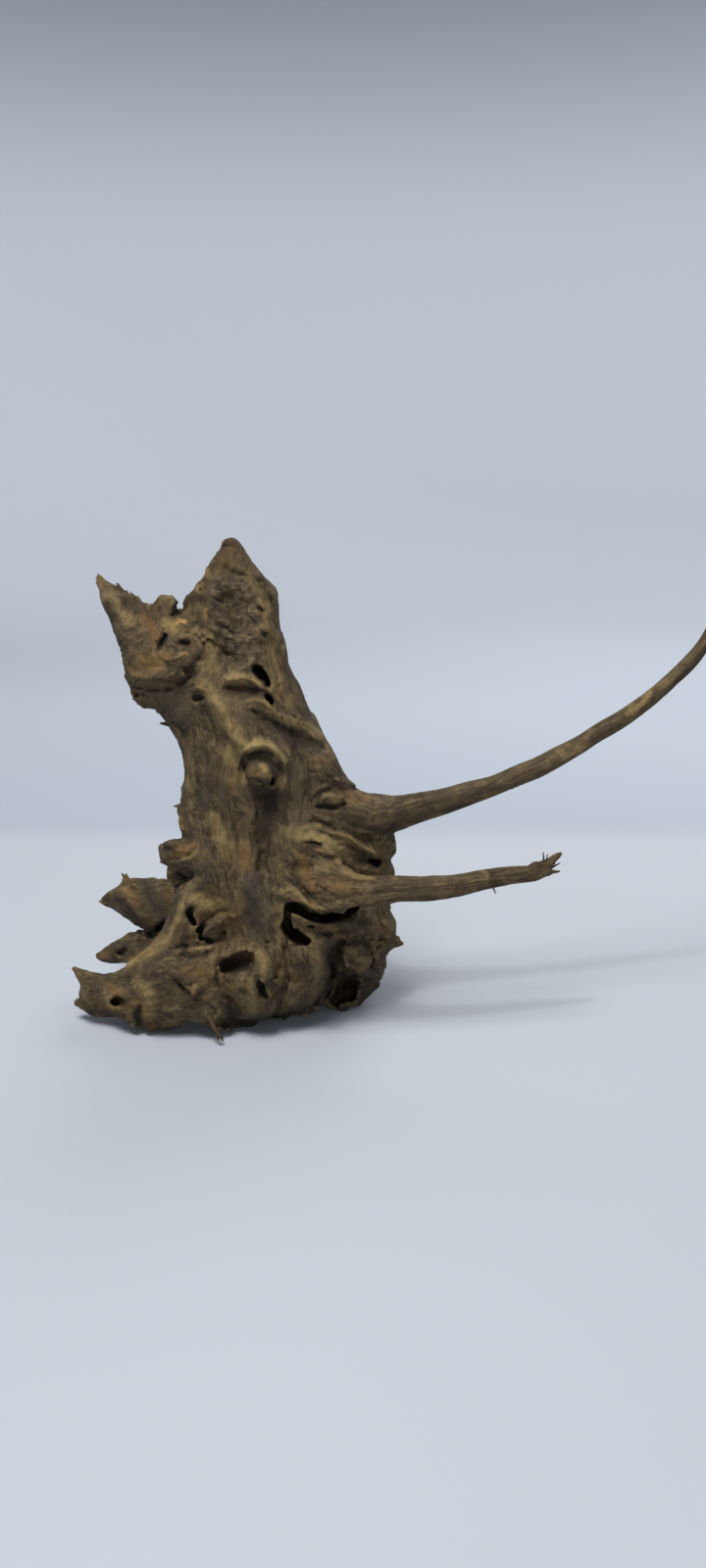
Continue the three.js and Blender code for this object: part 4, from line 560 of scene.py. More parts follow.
# Splinters and fibres too thin for the grid: balls (x, y, z, radius).
SPLINTERS = [
    [(-61, -2, 268, 3), (-65, -2, 275, 1.8), (-68.5, -2, 281, 0.6)],
    [(-62, -3, 269, 2.4), (-67.5, -3, 275, 1.4), (-72, -3, 280, 0.5)],
    [(-58, -3, 268, 2.2), (-61, -3, 272.5, 1.4), (-63, -3, 277, 0.5)],
    [(-61, -1, 270, 1), (-60.5, -1, 276, 0.4)],
    [(-53, -3, 265, 2.6), (-56, -3, 270, 1.6), (-59.5, -3, 275, 0.5)],
    [(-40, -6, 197.5, 2), (-46, -7, 198, 0.5)],
    [(-34, -7, 146.5, 1.8), (-39.5, -8, 146.5, 0.5)],
    [(-19.5, -34, 19, 1.5), (-16, -36.5, 13, 1.6), (-12.5, -37, 7.5, 1.2), (-10.3, -36, 3.2, 0.4)],
    [(-15.5, -36, 12, 1), (-13.6, -37.5, 7, 0.7), (-13.2, -37.5, 4, 0.3)],
    [(186, -20, 111, 3.6), (190, -20, 114.5, 2.8), (194, -20, 118, 1.8), (196.5, -20, 120.5, 0.9)],
    [(185, -21, 108, 3), (190, -21, 108.5, 1.8), (196, -21, 109, 0.5)],
    [(189, -20, 110, 1.2), (196, -20, 114, 0.4)],
    [(186, -20, 114, 0.9), (185.5, -20, 121, 0.3)],
    [(187, -21, 114, 0.8), (188, -21, 120, 0.3)],
    [(182, -21, 112, 1), (184.5, -21, 116, 0.3)],
    [(180, -21, 113, 0.8), (181.5, -21, 115.5, 0.3)],
    [(155, -24, 100, 0.7), (157, -24, 95.5, 0.3)],
    [(-83, 59, 68, 2.4), (-85.5, 60, 75, 1.3), (-87.4, 60, 79.5, 0.5)],
    [(-80, 58, 70, 1.6), (-81, 59, 75, 0.7)],
    [(-94, 60, 60, 1.8), (-100, 60, 61.5, 0.6)],
    [(-95, 60, 59, 1.2), (-99, 60, 57.5, 0.4)],
]

# What is grown after the hollows are cut.
LAST_GROWN = [
    ("stub of the knot", 2.5, [(16, -26, 172, 10), (16, -32, 172.5, 9.5), (16, -35, 172.5, 8)]),
    ("rough end of the back upper root", 2, [
        (-82, 58, 66, 8), (-89, 60, 66.5, 5.5), (-94.5, 60, 65.5, 3.6), (-97.5, 60, 62.5, 2)]),
    ("rough end of the right lobe", 1.5, [(97, 23, 44, 4), (100, 23, 47, 2.2)]),
]

# How far a limb's grain is squeezed along its length: one value for the trunk and branches, one for the
# roots.
TRUNK_SQUEEZE = 0.07
ROOT_SQUEEZE = 0.2
# Round knots push the grain aside: middle (x, y, z), radius, and how deep the push reaches.
KNOTS = [
    ((16, -34, 170), 14.0, 22.0),
    ((57, -17, 152), 9.0, 12.0),
    ((11, 48, 152), 12.0, 18.0),
]


def smooth_step(low, high, value):
    t = np.clip((value - low) / (high - low), 0, 1)
    return t * t * (3 - 2 * t)


def seen(points):
    """Where the photograph's view shows each place, in photograph pixels."""
    off = points - EYE
    deep = off[:, 1] * math.cos(DOWN) - off[:, 2] * math.sin(DOWN)
    high = off[:, 1] * math.sin(DOWN) + off[:, 2] * math.cos(DOWN)
    return np.stack([MIDDLE[0] + FOCAL * off[:, 0] / deep, MIDDLE[1] - FOCAL * high / deep], 1)


def sight(across, down):
    """The direction of the line of sight through one pixel."""
    x, y = (across - MIDDLE[0]) / FOCAL, (MIDDLE[1] - down) / FOCAL
    way = np.array([x, math.cos(DOWN) + y * math.sin(DOWN), y * math.cos(DOWN) - math.sin(DOWN)])
    return way / np.linalg.norm(way)


def facing(points, normals):
    """From 0 to 1: how much each place looks towards the photograph's eye."""
    way = points - EYE
    way /= np.linalg.norm(way, axis=1)[:, None]
    return -(way * normals).sum(1)


def stray(spots, points):
    """The spots of the view, moved a little so that no stroke has a drawn edge."""
    x, y, z = points.T.astype(np.float32)
    out = spots.copy()
    for side, seed in ((0, 31), (1, 33)):
        out[:, side] += (Noise(seed)(x / 9, y / 9, z / 9) - 0.5) * 4.0
        out[:, side] += (Noise(seed + 1)(x / 3.6, y / 3.6, z / 3.6) - 0.5) * 1.8
    return out


def stroke(spots, path):
    """From 0 to 1: how far inside a brush stroke each spot of the view lies."""
    share = np.zeros(len(spots), np.float32)
    path = smooth_chain(path, smallest=1.0)
    widest = path[:, 2].max()
    low, high = path[:, :2].min(0) - widest, path[:, :2].max(0) + widest
    near = np.flatnonzero(((spots > low) & (spots < high)).all(1))
    for a, b in zip(path, path[1:] if len(path) > 1 else path):
        along = b[:2] - a[:2]
        off = spots[near] - a[:2]
        t = np.clip(off @ along / max(along @ along, 1e-9), 0, 1)
        away = np.hypot(*(off - t[:, None] * along).T) / (a[2] + t * (b[2] - a[2]))
        share[near] = np.maximum(share[near], np.clip(1 - away ** 2, 0, 1) ** 2)
    return share


def smooth_chain(balls, between=4, smallest=0.8):
    """The chain with more balls between the given ones, on a smooth curve through them."""
    balls = np.array(balls, float)
    if len(balls) < 3:
        return balls
    before = 2 * balls[0] - balls[1]
    after = 2 * balls[-1] - balls[-2]
    stops = np.vstack([before, balls, after])
    curve = []
    for n in range(1, len(stops) - 2):
        previous, here, following, beyond = stops[n - 1:n + 3]
        for step in range(between):
            t = step / between
            curve.append(0.5 * (
                2 * here + (following - previous) * t
                + (2 * previous - 5 * here + 4 * following - beyond) * t * t
                + (3 * here - previous - 3 * following + beyond) * t ** 3))
    curve.append(balls[-1])
    curve = np.array(curve)
    curve[:, -1] = np.maximum(curve[:, -1], smallest)
    return curve


def between_two(path):
    """The one or two given spots, with more between them."""
    path = np.array(path, float)
    return np.linspace(path[0], path[-1], 5 if len(path) > 1 else 1)


def wander(x, y, z):
    """The stray that keeps the wood's lines from staying smooth, less along the branches."""
    turn = 2 * math.pi / WANDER_LENGTH
    fine = 2.3 * turn
    free = 1 / (1 + np.exp((x - BRANCH_START) / 9))
    size = WANDER * (BRANCH_CALM + (1 - BRANCH_CALM) * free)
    return (
        size * (np.sin(turn * (y * 1.1 + z * 0.9) + 1.3) + 0.5 * np.sin(fine * (z * 0.8 - y * 0.7) + 0.4)),
        size * (np.sin(turn * (x * 0.9 + z * 1.1) + 2.1) + 0.5 * np.sin(fine * (x * 0.8 + z * 0.6) + 1.9)),
        size * (np.sin(turn * (x * 1.2 - y * 0.8) + 0.7) + 0.5 * np.sin(fine * (x * 0.9 + y * 0.9) + 2.8)))


class Noise:
    """Smooth noise from 0 to 1 on a repeating lattice of seeded random numbers."""

    SIDE = 32

    def __init__(self, seed):
        self.lattice = np.random.default_rng(seed).random((self.SIDE,) * 3).astype(np.float32).ravel()

    def __call__(self, x, y, z):
        total = np.zeros(x.shape, np.float32)
        cells, parts = [], []
        for value in (x, y, z):
            floor = np.floor(value)
            part = (value - floor).astype(np.float32)
            cells.append(floor.astype(np.int32))
            parts.append(part * part * (3 - 2 * part))
        mask = self.SIDE - 1
        for corner in range(8):
            bits = (corner & 1, corner >> 1 & 1, corner >> 2 & 1)
            at = 0
            weight = 1
            for cell, part, bit in zip(cells, parts, bits):
                at = at * self.SIDE + ((cell + bit) & mask)
                weight = weight * (part if bit else 1 - part)
            total += weight * self.lattice[at]
        return total


def melt(a, b, blend):
    """The smaller of two distances, rounded off where they are nearly alike."""
    overlap = np.maximum(blend - np.abs(a - b), 0) / blend
    return np.minimum(a, b) - overlap * overlap * blend * 0.25


def corners_round(where, count, kind):
    """The eight grid points round each place, with the share that each has in it."""
    where = np.clip(where, 0, count - 1.001)
    base = where.astype(np.int32)
    part = (where - base).astype(kind)
    for corner in range(8):
        bits = np.array((corner & 1, corner >> 1 & 1, corner >> 2 & 1))
        share = np.prod(np.where(bits, part, 1 - part), axis=1)
        yield share, tuple((base + bits).T)


class Field:
    """A grid of signed distances in millimetres, negative inside the wood."""

    def __init__(self, cell):
        self.cell = cell
        self.count = np.ceil((HIGH - LOW) / cell).astype(int) + 1
        axes = [(LOW[i] + cell * np.arange(self.count[i])).astype(np.float32) for i in range(3)]
        place = np.meshgrid(*axes, indexing="ij")
        self.look = [p + s for p, s in zip(place, wander(*place))]
        self.look = [np.ascontiguousarray(p, np.float32) for p in self.look]
        self.value = np.full(self.count, FAR_OFF, np.float32)

    def window(self, low, high):
        """The slices of the grid that hold a box."""
        spare = WANDER * 2
        first = np.maximum(((low - spare - LOW) / self.cell).astype(int), 0)
        last = np.minimum(((high + spare - LOW) / self.cell).astype(int) + 2, self.count)
        return tuple(slice(int(a), int(b)) for a, b in zip(first, last))

    def near_chain(self, balls, depth, reach):
        """The window round a chain, and the distance to the chain in it."""
        curve = smooth_chain(balls)
        low = (curve[:, :3] - curve[:, 3:]).min(0) - reach
        high = (curve[:, :3] + curve[:, 3:]).max(0) + reach
        whole = self.window(low, high)
        found = np.full([s.stop - s.start for s in whole], 1e3, np.float32)
        for a, b in zip(curve[:-1], curve[1:]):
            low = np.minimum(a[:3] - a[3], b[:3] - b[3]) - reach
            high = np.maximum(a[:3] + a[3], b[:3] + b[3]) + reach
            part = self.window(low, high)
            local = tuple(slice(p.start - w.start, p.stop - w.start) for p, w in zip(part, whole))
            along = b[:3] - a[:3]
            x, y, z = (self.look[i][part] - np.float32(a[i]) for i in range(3))
            t = np.clip((x * along[0] + y * along[1] + z * along[2]) / max(along @ along, 1e-9), 0, 1)
            away = np.sqrt(
                (x - t * along[0]) ** 2 + ((y - t * along[1]) / depth) ** 2 + (z - t * along[2]) ** 2)
            distance = away - (a[3] + t * (b[3] - a[3]))
            found[local] = np.minimum(found[local], distance)
        return whole, found

    def grow(self, blend, balls, depth=1):
        window, distance = self.near_chain(balls, depth, blend + 3)
        self.value[window] = melt(self.value[window], distance, blend)

    def cut(self, blend, balls):
        window, distance = self.near_chain(balls, 1, blend + 3)
        self.value[window] = -melt(-self.value[window], distance, blend)

    def struck(self, way):
        """Where the line of sight in this direction first meets the wood, or None."""
        run = np.arange(NEAREST, FARTHEST, SIGHT_STEP)
        places = EYE + run[:, None] * way
        inside = ((places > LOW) & (places < HIGH)).all(1) & (self.sample(places) < 0)
        return places[inside.argmax()] if inside.any() else None

    def drill(self, holes):
        """Cuts holes inwards along the line of sight, as wide as the view shows them."""
        cuts = []
        for depth, path in holes:
            path = smooth_chain(path) if len(path) > 2 else between_two(path)
            for across, down, radius in path:
                way = sight(across, down)
                start = self.struck(way)
                if start is None:
                    continue
                size = radius * np.linalg.norm(start - EYE) / FOCAL
                mouth, end = start - way * (size + 1.5), start + way * depth
                cuts.append([(*mouth, size * 1.05), (*end, size * 0.75)])
        for balls in cuts:
            self.cut(1.2, balls)

    def add_heart(self):
        middle, reach = np.array(HEART_MIDDLE, float), np.array(HEART_REACH, float)
        window = self.window(middle - reach - HEART_BLEND, middle + reach + HEART_BLEND)
        unit = [(self.look[i][window] - middle[i]) / reach[i] for i in range(3)]
        size = np.sqrt(sum(u * u for u in unit))
        slope = np.sqrt(sum((u / r) ** 2 for u, r in zip(unit, reach))) + 1e-6
        self.value[window] = melt(self.value[window], size * (size - 1) / slope, HEART_BLEND)

    def sample(self, points):
        """The grid's value between its points, for an array of places."""
        total = 0
        for share, at in corners_round((points - LOW) / self.cell, self.count, np.float32):
            total = total + share * self.value[at]
        return total


class Grain:
    """Coordinates that follow the wood: close to real ones across the grain, squeezed along it."""

    CELL = 5.0
    SHARPNESS = 5.0

    def __init__(self):
        self.count = np.ceil((HIGH - LOW) / self.CELL).astype(int) + 1
        axes = [LOW[i] + self.CELL * np.arange(self.count[i]) for i in range(3)]
        place = np.stack(np.meshgrid(*axes, indexing="ij"), -1).reshape(-1, 3)
        total = np.zeros_like(place)
        weights = np.full(len(place), 1e-9)
        for limbs, squeeze in ((TRUNK, TRUNK_SQUEEZE), (BRANCHES, TRUNK_SQUEEZE), (ROOTS, ROOT_SQUEEZE)):
            for _, _, _, balls in limbs:
                grain, distance = self.along(balls, squeeze, place)
                if limbs is not TRUNK:
                    start = np.array(balls[0][:3], float)
                    grain += self.read(start, total, weights) - start
                share = np.exp(-np.clip(distance, -12, 60) / self.SHARPNESS)
                total += grain * share[:, None]
                weights += share
        self.grid = (total / weights[:, None]).reshape(*self.count, 3).astype(np.float32)

    def read(self, point, total, weights):
        at = np.round((point - LOW) / self.CELL).astype(int)
        row = np.ravel_multi_index(tuple(at), tuple(self.count))
        return total[row] / weights[row]

    def along(self, balls, squeeze, place):
        """Each place in the limb's own straightened coordinates, and its distance to the limb."""
        curve = smooth_chain(balls)
        points, radii = curve[:, :3], curve[:, 3]
        steps = np.diff(points, axis=0)
        lengths = np.linalg.norm(steps, axis=1)
        tangents = steps / lengths[:, None]
        run = np.concatenate([[0], np.cumsum(lengths)])
        side = np.cross(tangents[0], (0.31, 0.87, 0.38))
        side /= np.linalg.norm(side)
        frames = []
        for tangent in tangents:
            side = side - tangent * (side @ tangent)
            side /= np.linalg.norm(side)
            frames.append((side, np.cross(tangent, side)))
        best = np.full(len(place), 1e6)
        grain = np.zeros_like(place)
        for n, tangent in enumerate(tangents):
            from_start = place - points[n]
            t = np.clip(from_start @ tangent / lengths[n], 0, 1)
            off = from_start - (t * lengths[n])[:, None] * tangent
            distance = np.linalg.norm(off, axis=1) - (radii[n] + t * (radii[n + 1] - radii[n]))
            nearer = distance < best
            best[nearer] = distance[nearer]
            off, t = off[nearer], t[nearer]
            forward = run[n] + t * lengths[n] + off @ tangent
            grain[nearer] = (
                points[0]
                + (off @ frames[n][0])[:, None] * frames[0][0]
                + (off @ frames[n][1])[:, None] * frames[0][1]
                + (squeeze * forward)[:, None] * tangents[0])
        return grain, best

    def at(self, points):
        """The grain coordinates at an array of places, bent round the knots."""
        found = np.zeros(points.shape)
        for share, at in corners_round((points - LOW) / self.CELL, self.count, float):
            found += share[:, None] * self.grid[at]
        for middle, radius, deep in KNOTS:
            off = points - np.array(middle, float)
            around = np.hypot(off[:, 0], off[:, 2])
            near = np.exp(-(off[:, 1] / deep) ** 2)
            push = -off[:, 0] * np.minimum(radius ** 2 / np.maximum(around, 1e-3) ** 2, 1) * near
            found[:, 0] += push
            ring = near * smooth_step(radius, radius * 0.8, around)
            found[:, 0] = found[:, 0] * (1 - ring) + ring * around * 1.3
            found[:, 2] = found[:, 2] * (1 - ring)
        return found


def shape_field():
    field = Field(CELL)
    for _, blend, depth, balls in TRUNK + ROOTS + BRANCHES:
        field.grow(blend, balls, depth)
    field.add_heart()
    for _, blend, balls in FOLDS:
        field.grow(blend, balls)
    for _, blend, balls in HOLLOWS:
        field.cut(blend, balls)
    for _, blend, balls in LAST_GROWN:
        field.grow(blend, balls)
    field.drill(HOLES)
    return field


def relief(points, grain, shown):
    """How far the weathered surface stands out at each place, in millimetres."""
    x, y, z = points.T.astype(np.float32)
    gx, gy, gz = grain.T.astype(np.float32)
    # The parts of the wood, each from 0 to 1.
    base = smooth_step(125, 80, z) * smooth_step(108, 90, x)
    head = smooth_step(-15, -35, x) * smooth_step(205, 225, z)
    peak = smooth_step(-22, -12, x) * smooth_step(238, 250, z) * smooth_step(6, -6, y)
    branch = smooth_step(84, 112, x)
    gnarl = np.clip(0.3 + 0.7 * base + 0.3 * head + 0.3 * peak, 0, 1) * (1 - 0.8 * branch)
    gnarl *= 1 - 0.6 * shown
    crust = np.clip(0.25 + 0.6 * base + head + peak, 0, 1) * (1 - branch)
    noise = [Noise(seed) for seed in range(11, 21)]
    bend = [(noise[i](x / 11, y / 11, z / 11) - 0.5) * 5 for i in (0, 1, 2)]
    # Lumps, then broad and narrow crests along the grain.
    out = (noise[3](x / 15, y / 15, z / 15) - 0.5) * 4.2 * gnarl
    broad = noise[4]((gx + bend[0]) / 9, (gy + bend[1]) / 9, (gz + bend[2] * 0.4) / 6)
    out += ((1 - np.abs(2 * broad - 1)) ** 2 - 0.6) * 3.0 * gnarl
    narrow = noise[5]((gx + bend[1]) / 4.4, (gy + bend[2]) / 4.4, (gz + bend[0] * 0.4) / 4)
    out += (1 - np.abs(2 * narrow - 1) - 0.75) * 1.5 * (0.3 + 0.7 * gnarl) * (1 - 0.5 * branch)
    # Fibres, the crust's grains and the chips of the peak.
    out += (noise[6](gx / 2.3, gy / 2.3, gz / 2.0) - 0.5) * (1.0 - 0.5 * crust)
    out += (noise[0](x / 3.1, y / 3.1, z / 3.8) - 0.5) * 2.2 * crust
    chips = noise[2]((x * 0.82 - z * 0.57) / 6, y / 4, (x * 0.57 + z * 0.82) / 2.5)
    out += (chips - 0.5) * 2.8 * peak
    # Cracks along the grain, and pits, each in some places only.
    crack = np.abs(noise[7](gx / 8, gy / 8, gz / 3.4) - 0.5)
    where = smooth_step(0.5, 0.62, noise[8](x / 22, y / 22, z / 22))
    out -= smooth_step(0.035, 0.0, crack) * where * 1.6 * (1 - 0.5 * branch) * (1 - 0.7 * shown)
    pit = noise[9](x / 3.6, y / 3.6, z / 4.4)
    where = smooth_step(0.48, 0.6, noise[1](x / 18, y / 18, z / 18))
    out -= smooth_step(0.74, 0.86, pit) * where * 2.4 * gnarl * (1 - 0.9 * shown)
    # The thin tips stay nearly plain.
    tips = smooth_step(-52, -66, x) * smooth_step(248, 260, z) + smooth_step(-78, -92, x)
    tips += smooth_step(280, 294, z) * smooth_step(60, 40, x)
    return (out - 0.4) * (1 - 0.65 * np.clip(tips, 0, 1))


def carving(points, shown):
    """How far the listed ridges and grooves stand out, in millimetres."""
    spots = stray(seen(points), points)
    out = np.zeros(len(points), np.float32)
    for height, path in MARKS:
        broad = [(across, down, max(width, FINEST)) for across, down, width in path]
        out += height * stroke(spots, broad) * shown
    x, y, z = points.T.astype(np.float32)
    return out * (0.75 + 0.5 * Noise(35)(x / 5, y / 5, z / 5))


def weather(field, grain):
    """Carves the relief into the field near its surface, and cuts it flat at the ground."""
    flat = field.value.ravel()
    rows = np.flatnonzero(np.abs(flat) < BAND)
    at = np.stack(np.unravel_index(rows, field.value.shape), 1)
    points = LOW + at * field.cell
    slope = []
    for axis in range(3):
        step = int(np.prod(field.value.shape[axis + 1:]))
        slope.append(flat[np.minimum(rows + step, flat.size - 1)] - flat[np.maximum(rows - step, 0)])
    slope = np.stack(slope, 1)
    slope /= np.linalg.norm(slope, axis=1)[:, None] + 1e-6
    shown = smooth_step(-0.05, 0.3, facing(points, slope))
    fade = smooth_step(BAND, BAND * 0.6, np.abs(flat[rows]))
    carved = carving(points, shown)
    follow = grain.at(points)
    follow[:, 0] += carved * GRAIN_BEND
    flat[rows] -= (carved + relief(points, follow, shown)) * fade
    height = LOW[2] + field.cell * np.arange(field.count[2])
    field.value = np.maximum(field.value, -height.astype(np.float32))


def one_side(array, u, v, up, along):
    """The corners of the grid's squares across the axes u and v that lie on the given side."""
    cut = [slice(None)] * 3
    cut[u] = slice(up, array.shape[u] - 1 + up)
    cut[v] = slice(along, array.shape[v] - 1 + along)
    return array[tuple(cut)]


def mend(value, cell):
    """Fills the crossed squares of the grid's inside, so that the surface round it is closed."""
    for _ in range(MEND_ROUNDS):
        changed = False
        for u, v in ((0, 1), (1, 2), (0, 2)):
            inside = value < 0
            c00, c11 = one_side(inside, u, v, 0, 0), one_side(inside, u, v, 1, 1)
            c10, c01 = one_side(inside, u, v, 1, 0), one_side(inside, u, v, 0, 1)
            crossed = (c00 == c11) & (c10 == c01) & (c00 != c10)
            if crossed.any():
                one_side(value, u, v, 0, 0)[crossed & ~c00] = -0.1 * cell
                one_side(value, u, v, 1, 0)[crossed & c00] = -0.1 * cell
                changed = True
        if not changed:
            break


def surface_of(value, cell):
    """The closed surface of a grid: points in its crossed cells, and squares across its edges."""
    inside = value < 0
    full = np.zeros([n - 1 for n in value.shape], np.uint8)
    for corner in range(8):
        a, b, c = corner & 1, corner >> 1 & 1, corner >> 2 & 1
        full += inside[a:a + full.shape[0], b:b + full.shape[1], c:c + full.shape[2]]
    crossed = (full > 0) & (full < 8)
    at = np.stack(np.nonzero(crossed), 1)
    total = np.zeros((len(at), 3), np.float32)
    number = np.zeros(len(at), np.float32)
    for axis in range(3):
        for a in (0, 1):
            for b in (0, 1):
                start = at.copy()
                start[:, (axis + 1) % 3] += a
                start[:, (axis + 2) % 3] += b
                end = start.copy()
                end[:, axis] += 1
                low = value[tuple(start.T)]
                high = value[tuple(end.T)]
                cut = (low < 0) != (high < 0)
                share = np.where(cut, low / np.where(cut, low - high, 1), 0)
                place = (start - at).astype(np.float32)
                place[:, axis] += share
                total += place * cut[:, None]
                number += cut
    points = LOW + (at + total / number[:, None]) * cell
    row = np.full(full.shape, -1, np.int32)
    row[crossed] = np.arange(len(at))
    squares = []
    for axis in range(3):
        u, v = (axis + 1) % 3, (axis + 2) % 3
        span = [slice(1, n - 1) for n in value.shape]
        beyond = list(span)
        beyond[axis] = slice(2, value.shape[axis])
        here, there = inside[tuple(span)], inside[tuple(beyond)]
        start = np.stack(np.nonzero(here != there), 1) + 1
        ring = []
        for a, b in ((1, 1), (0, 1), (0, 0), (1, 0)):
            cell_at = start.copy()
            cell_at[:, u] -= a
            cell_at[:, v] -= b
            ring.append(row[tuple(cell_at.T)])
        ring = np.stack(ring, 1)
        solid = inside[tuple(start.T)]
        ring[~solid] = ring[~solid][:, ::-1]
        squares.append(ring)
    return points, np.concatenate(squares)


def largest_piece(points, squares):
    """Drops every scrap and sealed bubble, and keeps the one connected surface."""
    label = np.arange(len(points))
    while True:
        before = label.copy()
        least = label[squares].min(1)
        for side in range(4):
            np.minimum.at(label, squares[:, side], least)
        label = label[label]
        if (label == before).all():
            break
    main = np.bincount(label).argmax()
    keep = label == main
    new_row = np.cumsum(keep) - 1
    return points[keep], new_row[squares[keep[squares[:, 0]]]]


def mesh_object(name, points, faces):
    """A new object in the scene, from points in metres."""
    mesh = bpy.data.meshes.new(name)
    mesh.from_pydata(points, [], faces)
    thing = bpy.data.objects.new(name, mesh)
    bpy.context.scene.collection.objects.link(thing)
    return thing


def make_smooth(mesh):
    mesh.polygons.foreach_set("use_smooth", [True] * len(mesh.polygons))


def store(mesh, name, values):
    """Keeps one number or one vector for each point of a mesh."""
    kind, key = ("FLOAT_VECTOR", "vector") if values.ndim > 1 else ("FLOAT", "value")
    layer = mesh.attributes.new(name, kind, "POINT")
    layer.data.foreach_set(key, values.astype(np.float32).ravel())


def apply_modifiers(thing):
    graph = bpy.context.evaluated_depsgraph_get()
    made = bpy.data.meshes.new_from_object(thing.evaluated_get(graph))
    thing.modifiers.clear()
    old = thing.data
    thing.data = made
    bpy.data.meshes.remove(old)


def thin_out(thing, most):
    """Fewer triangles where the surface is plain, down to the given number."""
    thing.modifiers.new("triangles", "TRIANGULATE")
    apply_modifiers(thing)
    modifier = thing.modifiers.new("fewer", "DECIMATE")
    modifier.ratio = min(1.0, most / len(thing.data.polygons))
    apply_modifiers(thing)


def add_looks(thing, field, grain):
    """Stores what the material reads: grain coordinates, hollowness for painted shade, edge wear, and
    tints that include painted shade and painted highlights.
    """
    mesh = thing.data
    count = len(mesh.vertices)
    places = np.empty(count * 3, np.float32)
    normals = np.empty(count * 3, np.float32)
    mesh.vertices.foreach_get("co", places)
    mesh.vertex_normals.foreach_get("vector", normals)
    places = places.reshape(-1, 3) / MM
    normals = normals.reshape(-1, 3)
    shown = smooth_step(-0.3, 0.1, facing(places, normals))
    follow = grain.at(places)
    follow[:, 0] += carving(places, shown) * GRAIN_BEND
    store(mesh, "grain", follow)
    looks = {"hollow": np.zeros(count), "worn": np.ones(count)}
    # How hollow each point lies, from the wood found outside it: the material darkens the wood with it as
    # painted shade in hollows and creases.
    for distance in (2.5, 5.0, 9.0, 16.0):
        looks["hollow"] += (1 - np.clip(field.sample(places + normals * distance) / distance, 0, 1)) / 4
    for distance in (1.5, 3.0):
        looks["worn"] -= np.clip(-field.sample(places - normals * distance) / distance, 0, 1) / 2
    looks["bent"] = smooth_step(120, 80, places[:, 0])
    spots = stray(seen(places), places)
    for kind, strength, path in TINTS:
        broad = [(across, down, 1.5 * width + 1) for across, down, width in path]
        tint = strength * stroke(spots, broad) * shown
        looks[kind] = np.maximum(looks.get(kind, 0), tint)
    for name, values in looks.items():
        store(mesh, name, values)


def driftwood():
    field = shape_field()
    grain = Grain()
    weather(field, grain)
    mend(field.value, CELL)
    points, squares = surface_of(field.value, CELL)
    points, squares = largest_piece(points, squares)
    wood = mesh_object("driftwood_surface", (points * MM).tolist(), squares.tolist())
    wood.data.validate()
    thin_out(wood, MOST_TRIANGLES)
    make_smooth(wood.data)
    add_looks(wood, field, grain)
    return [wood, splinter_object(grain)]


def splinter_object(grain):
    """One mesh of thin tapering tubes."""
    points, faces, follow = [], [], []
    sides = SPLINTER_SIDES
    rng = np.random.default_rng(5)
    for balls in SPLINTERS:
        curve = smooth_chain(balls, smallest=0.25)
        way = np.gradient(curve[:, :3], axis=0)
        way /= np.linalg.norm(way, axis=1)[:, None]
        root = grain.at(curve[:1, :3])[0]
        start = len(points)
        for n, (ball, along) in enumerate(zip(curve, way)):
            side = np.cross(along, (0.3, 0.9, 0.2))
            side /= np.linalg.norm(side)
            other = np.cross(along, side)
            for k in range(sides):
                turn = 2 * math.pi * k / sides
                out = (math.cos(turn) * side + math.sin(turn) * other) * ball[3] * rng.uniform(0.75, 1.15)
                points.append(ball[:3] + out)
                follow.append(root + out * 1.5 + 0.2 * n)
        for n in range(len(curve) - 1):
            for k in range(sides):
                a, b = start + n * sides + k, start + n * sides + (k + 1) % sides
                faces.append([a, b, b + sides, a + sides])
        faces.append([start + k for k in range(sides)][::-1])
        faces.append([start + (len(curve) - 1) * sides + k for k in range(sides)])
    thing = mesh_object("driftwood_splinters", [tuple(p * MM) for p in points], faces)
    make_smooth(thing.data)
    store(thing.data, "grain", np.array(follow))
    # Even amounts on the splinters: hollow as painted shade, and tints, among them dark (partly painted
    # shade) and gold (partly painted highlight).
    looks = dict.fromkeys(LOOKS, 0.0)
    looks.update(hollow=0.2, dark=0.35, gold=0.1, rust=0.2, grey=0.2)
    for name, value in looks.items():
        store(thing.data, name, np.full(len(points), value))
    return thing


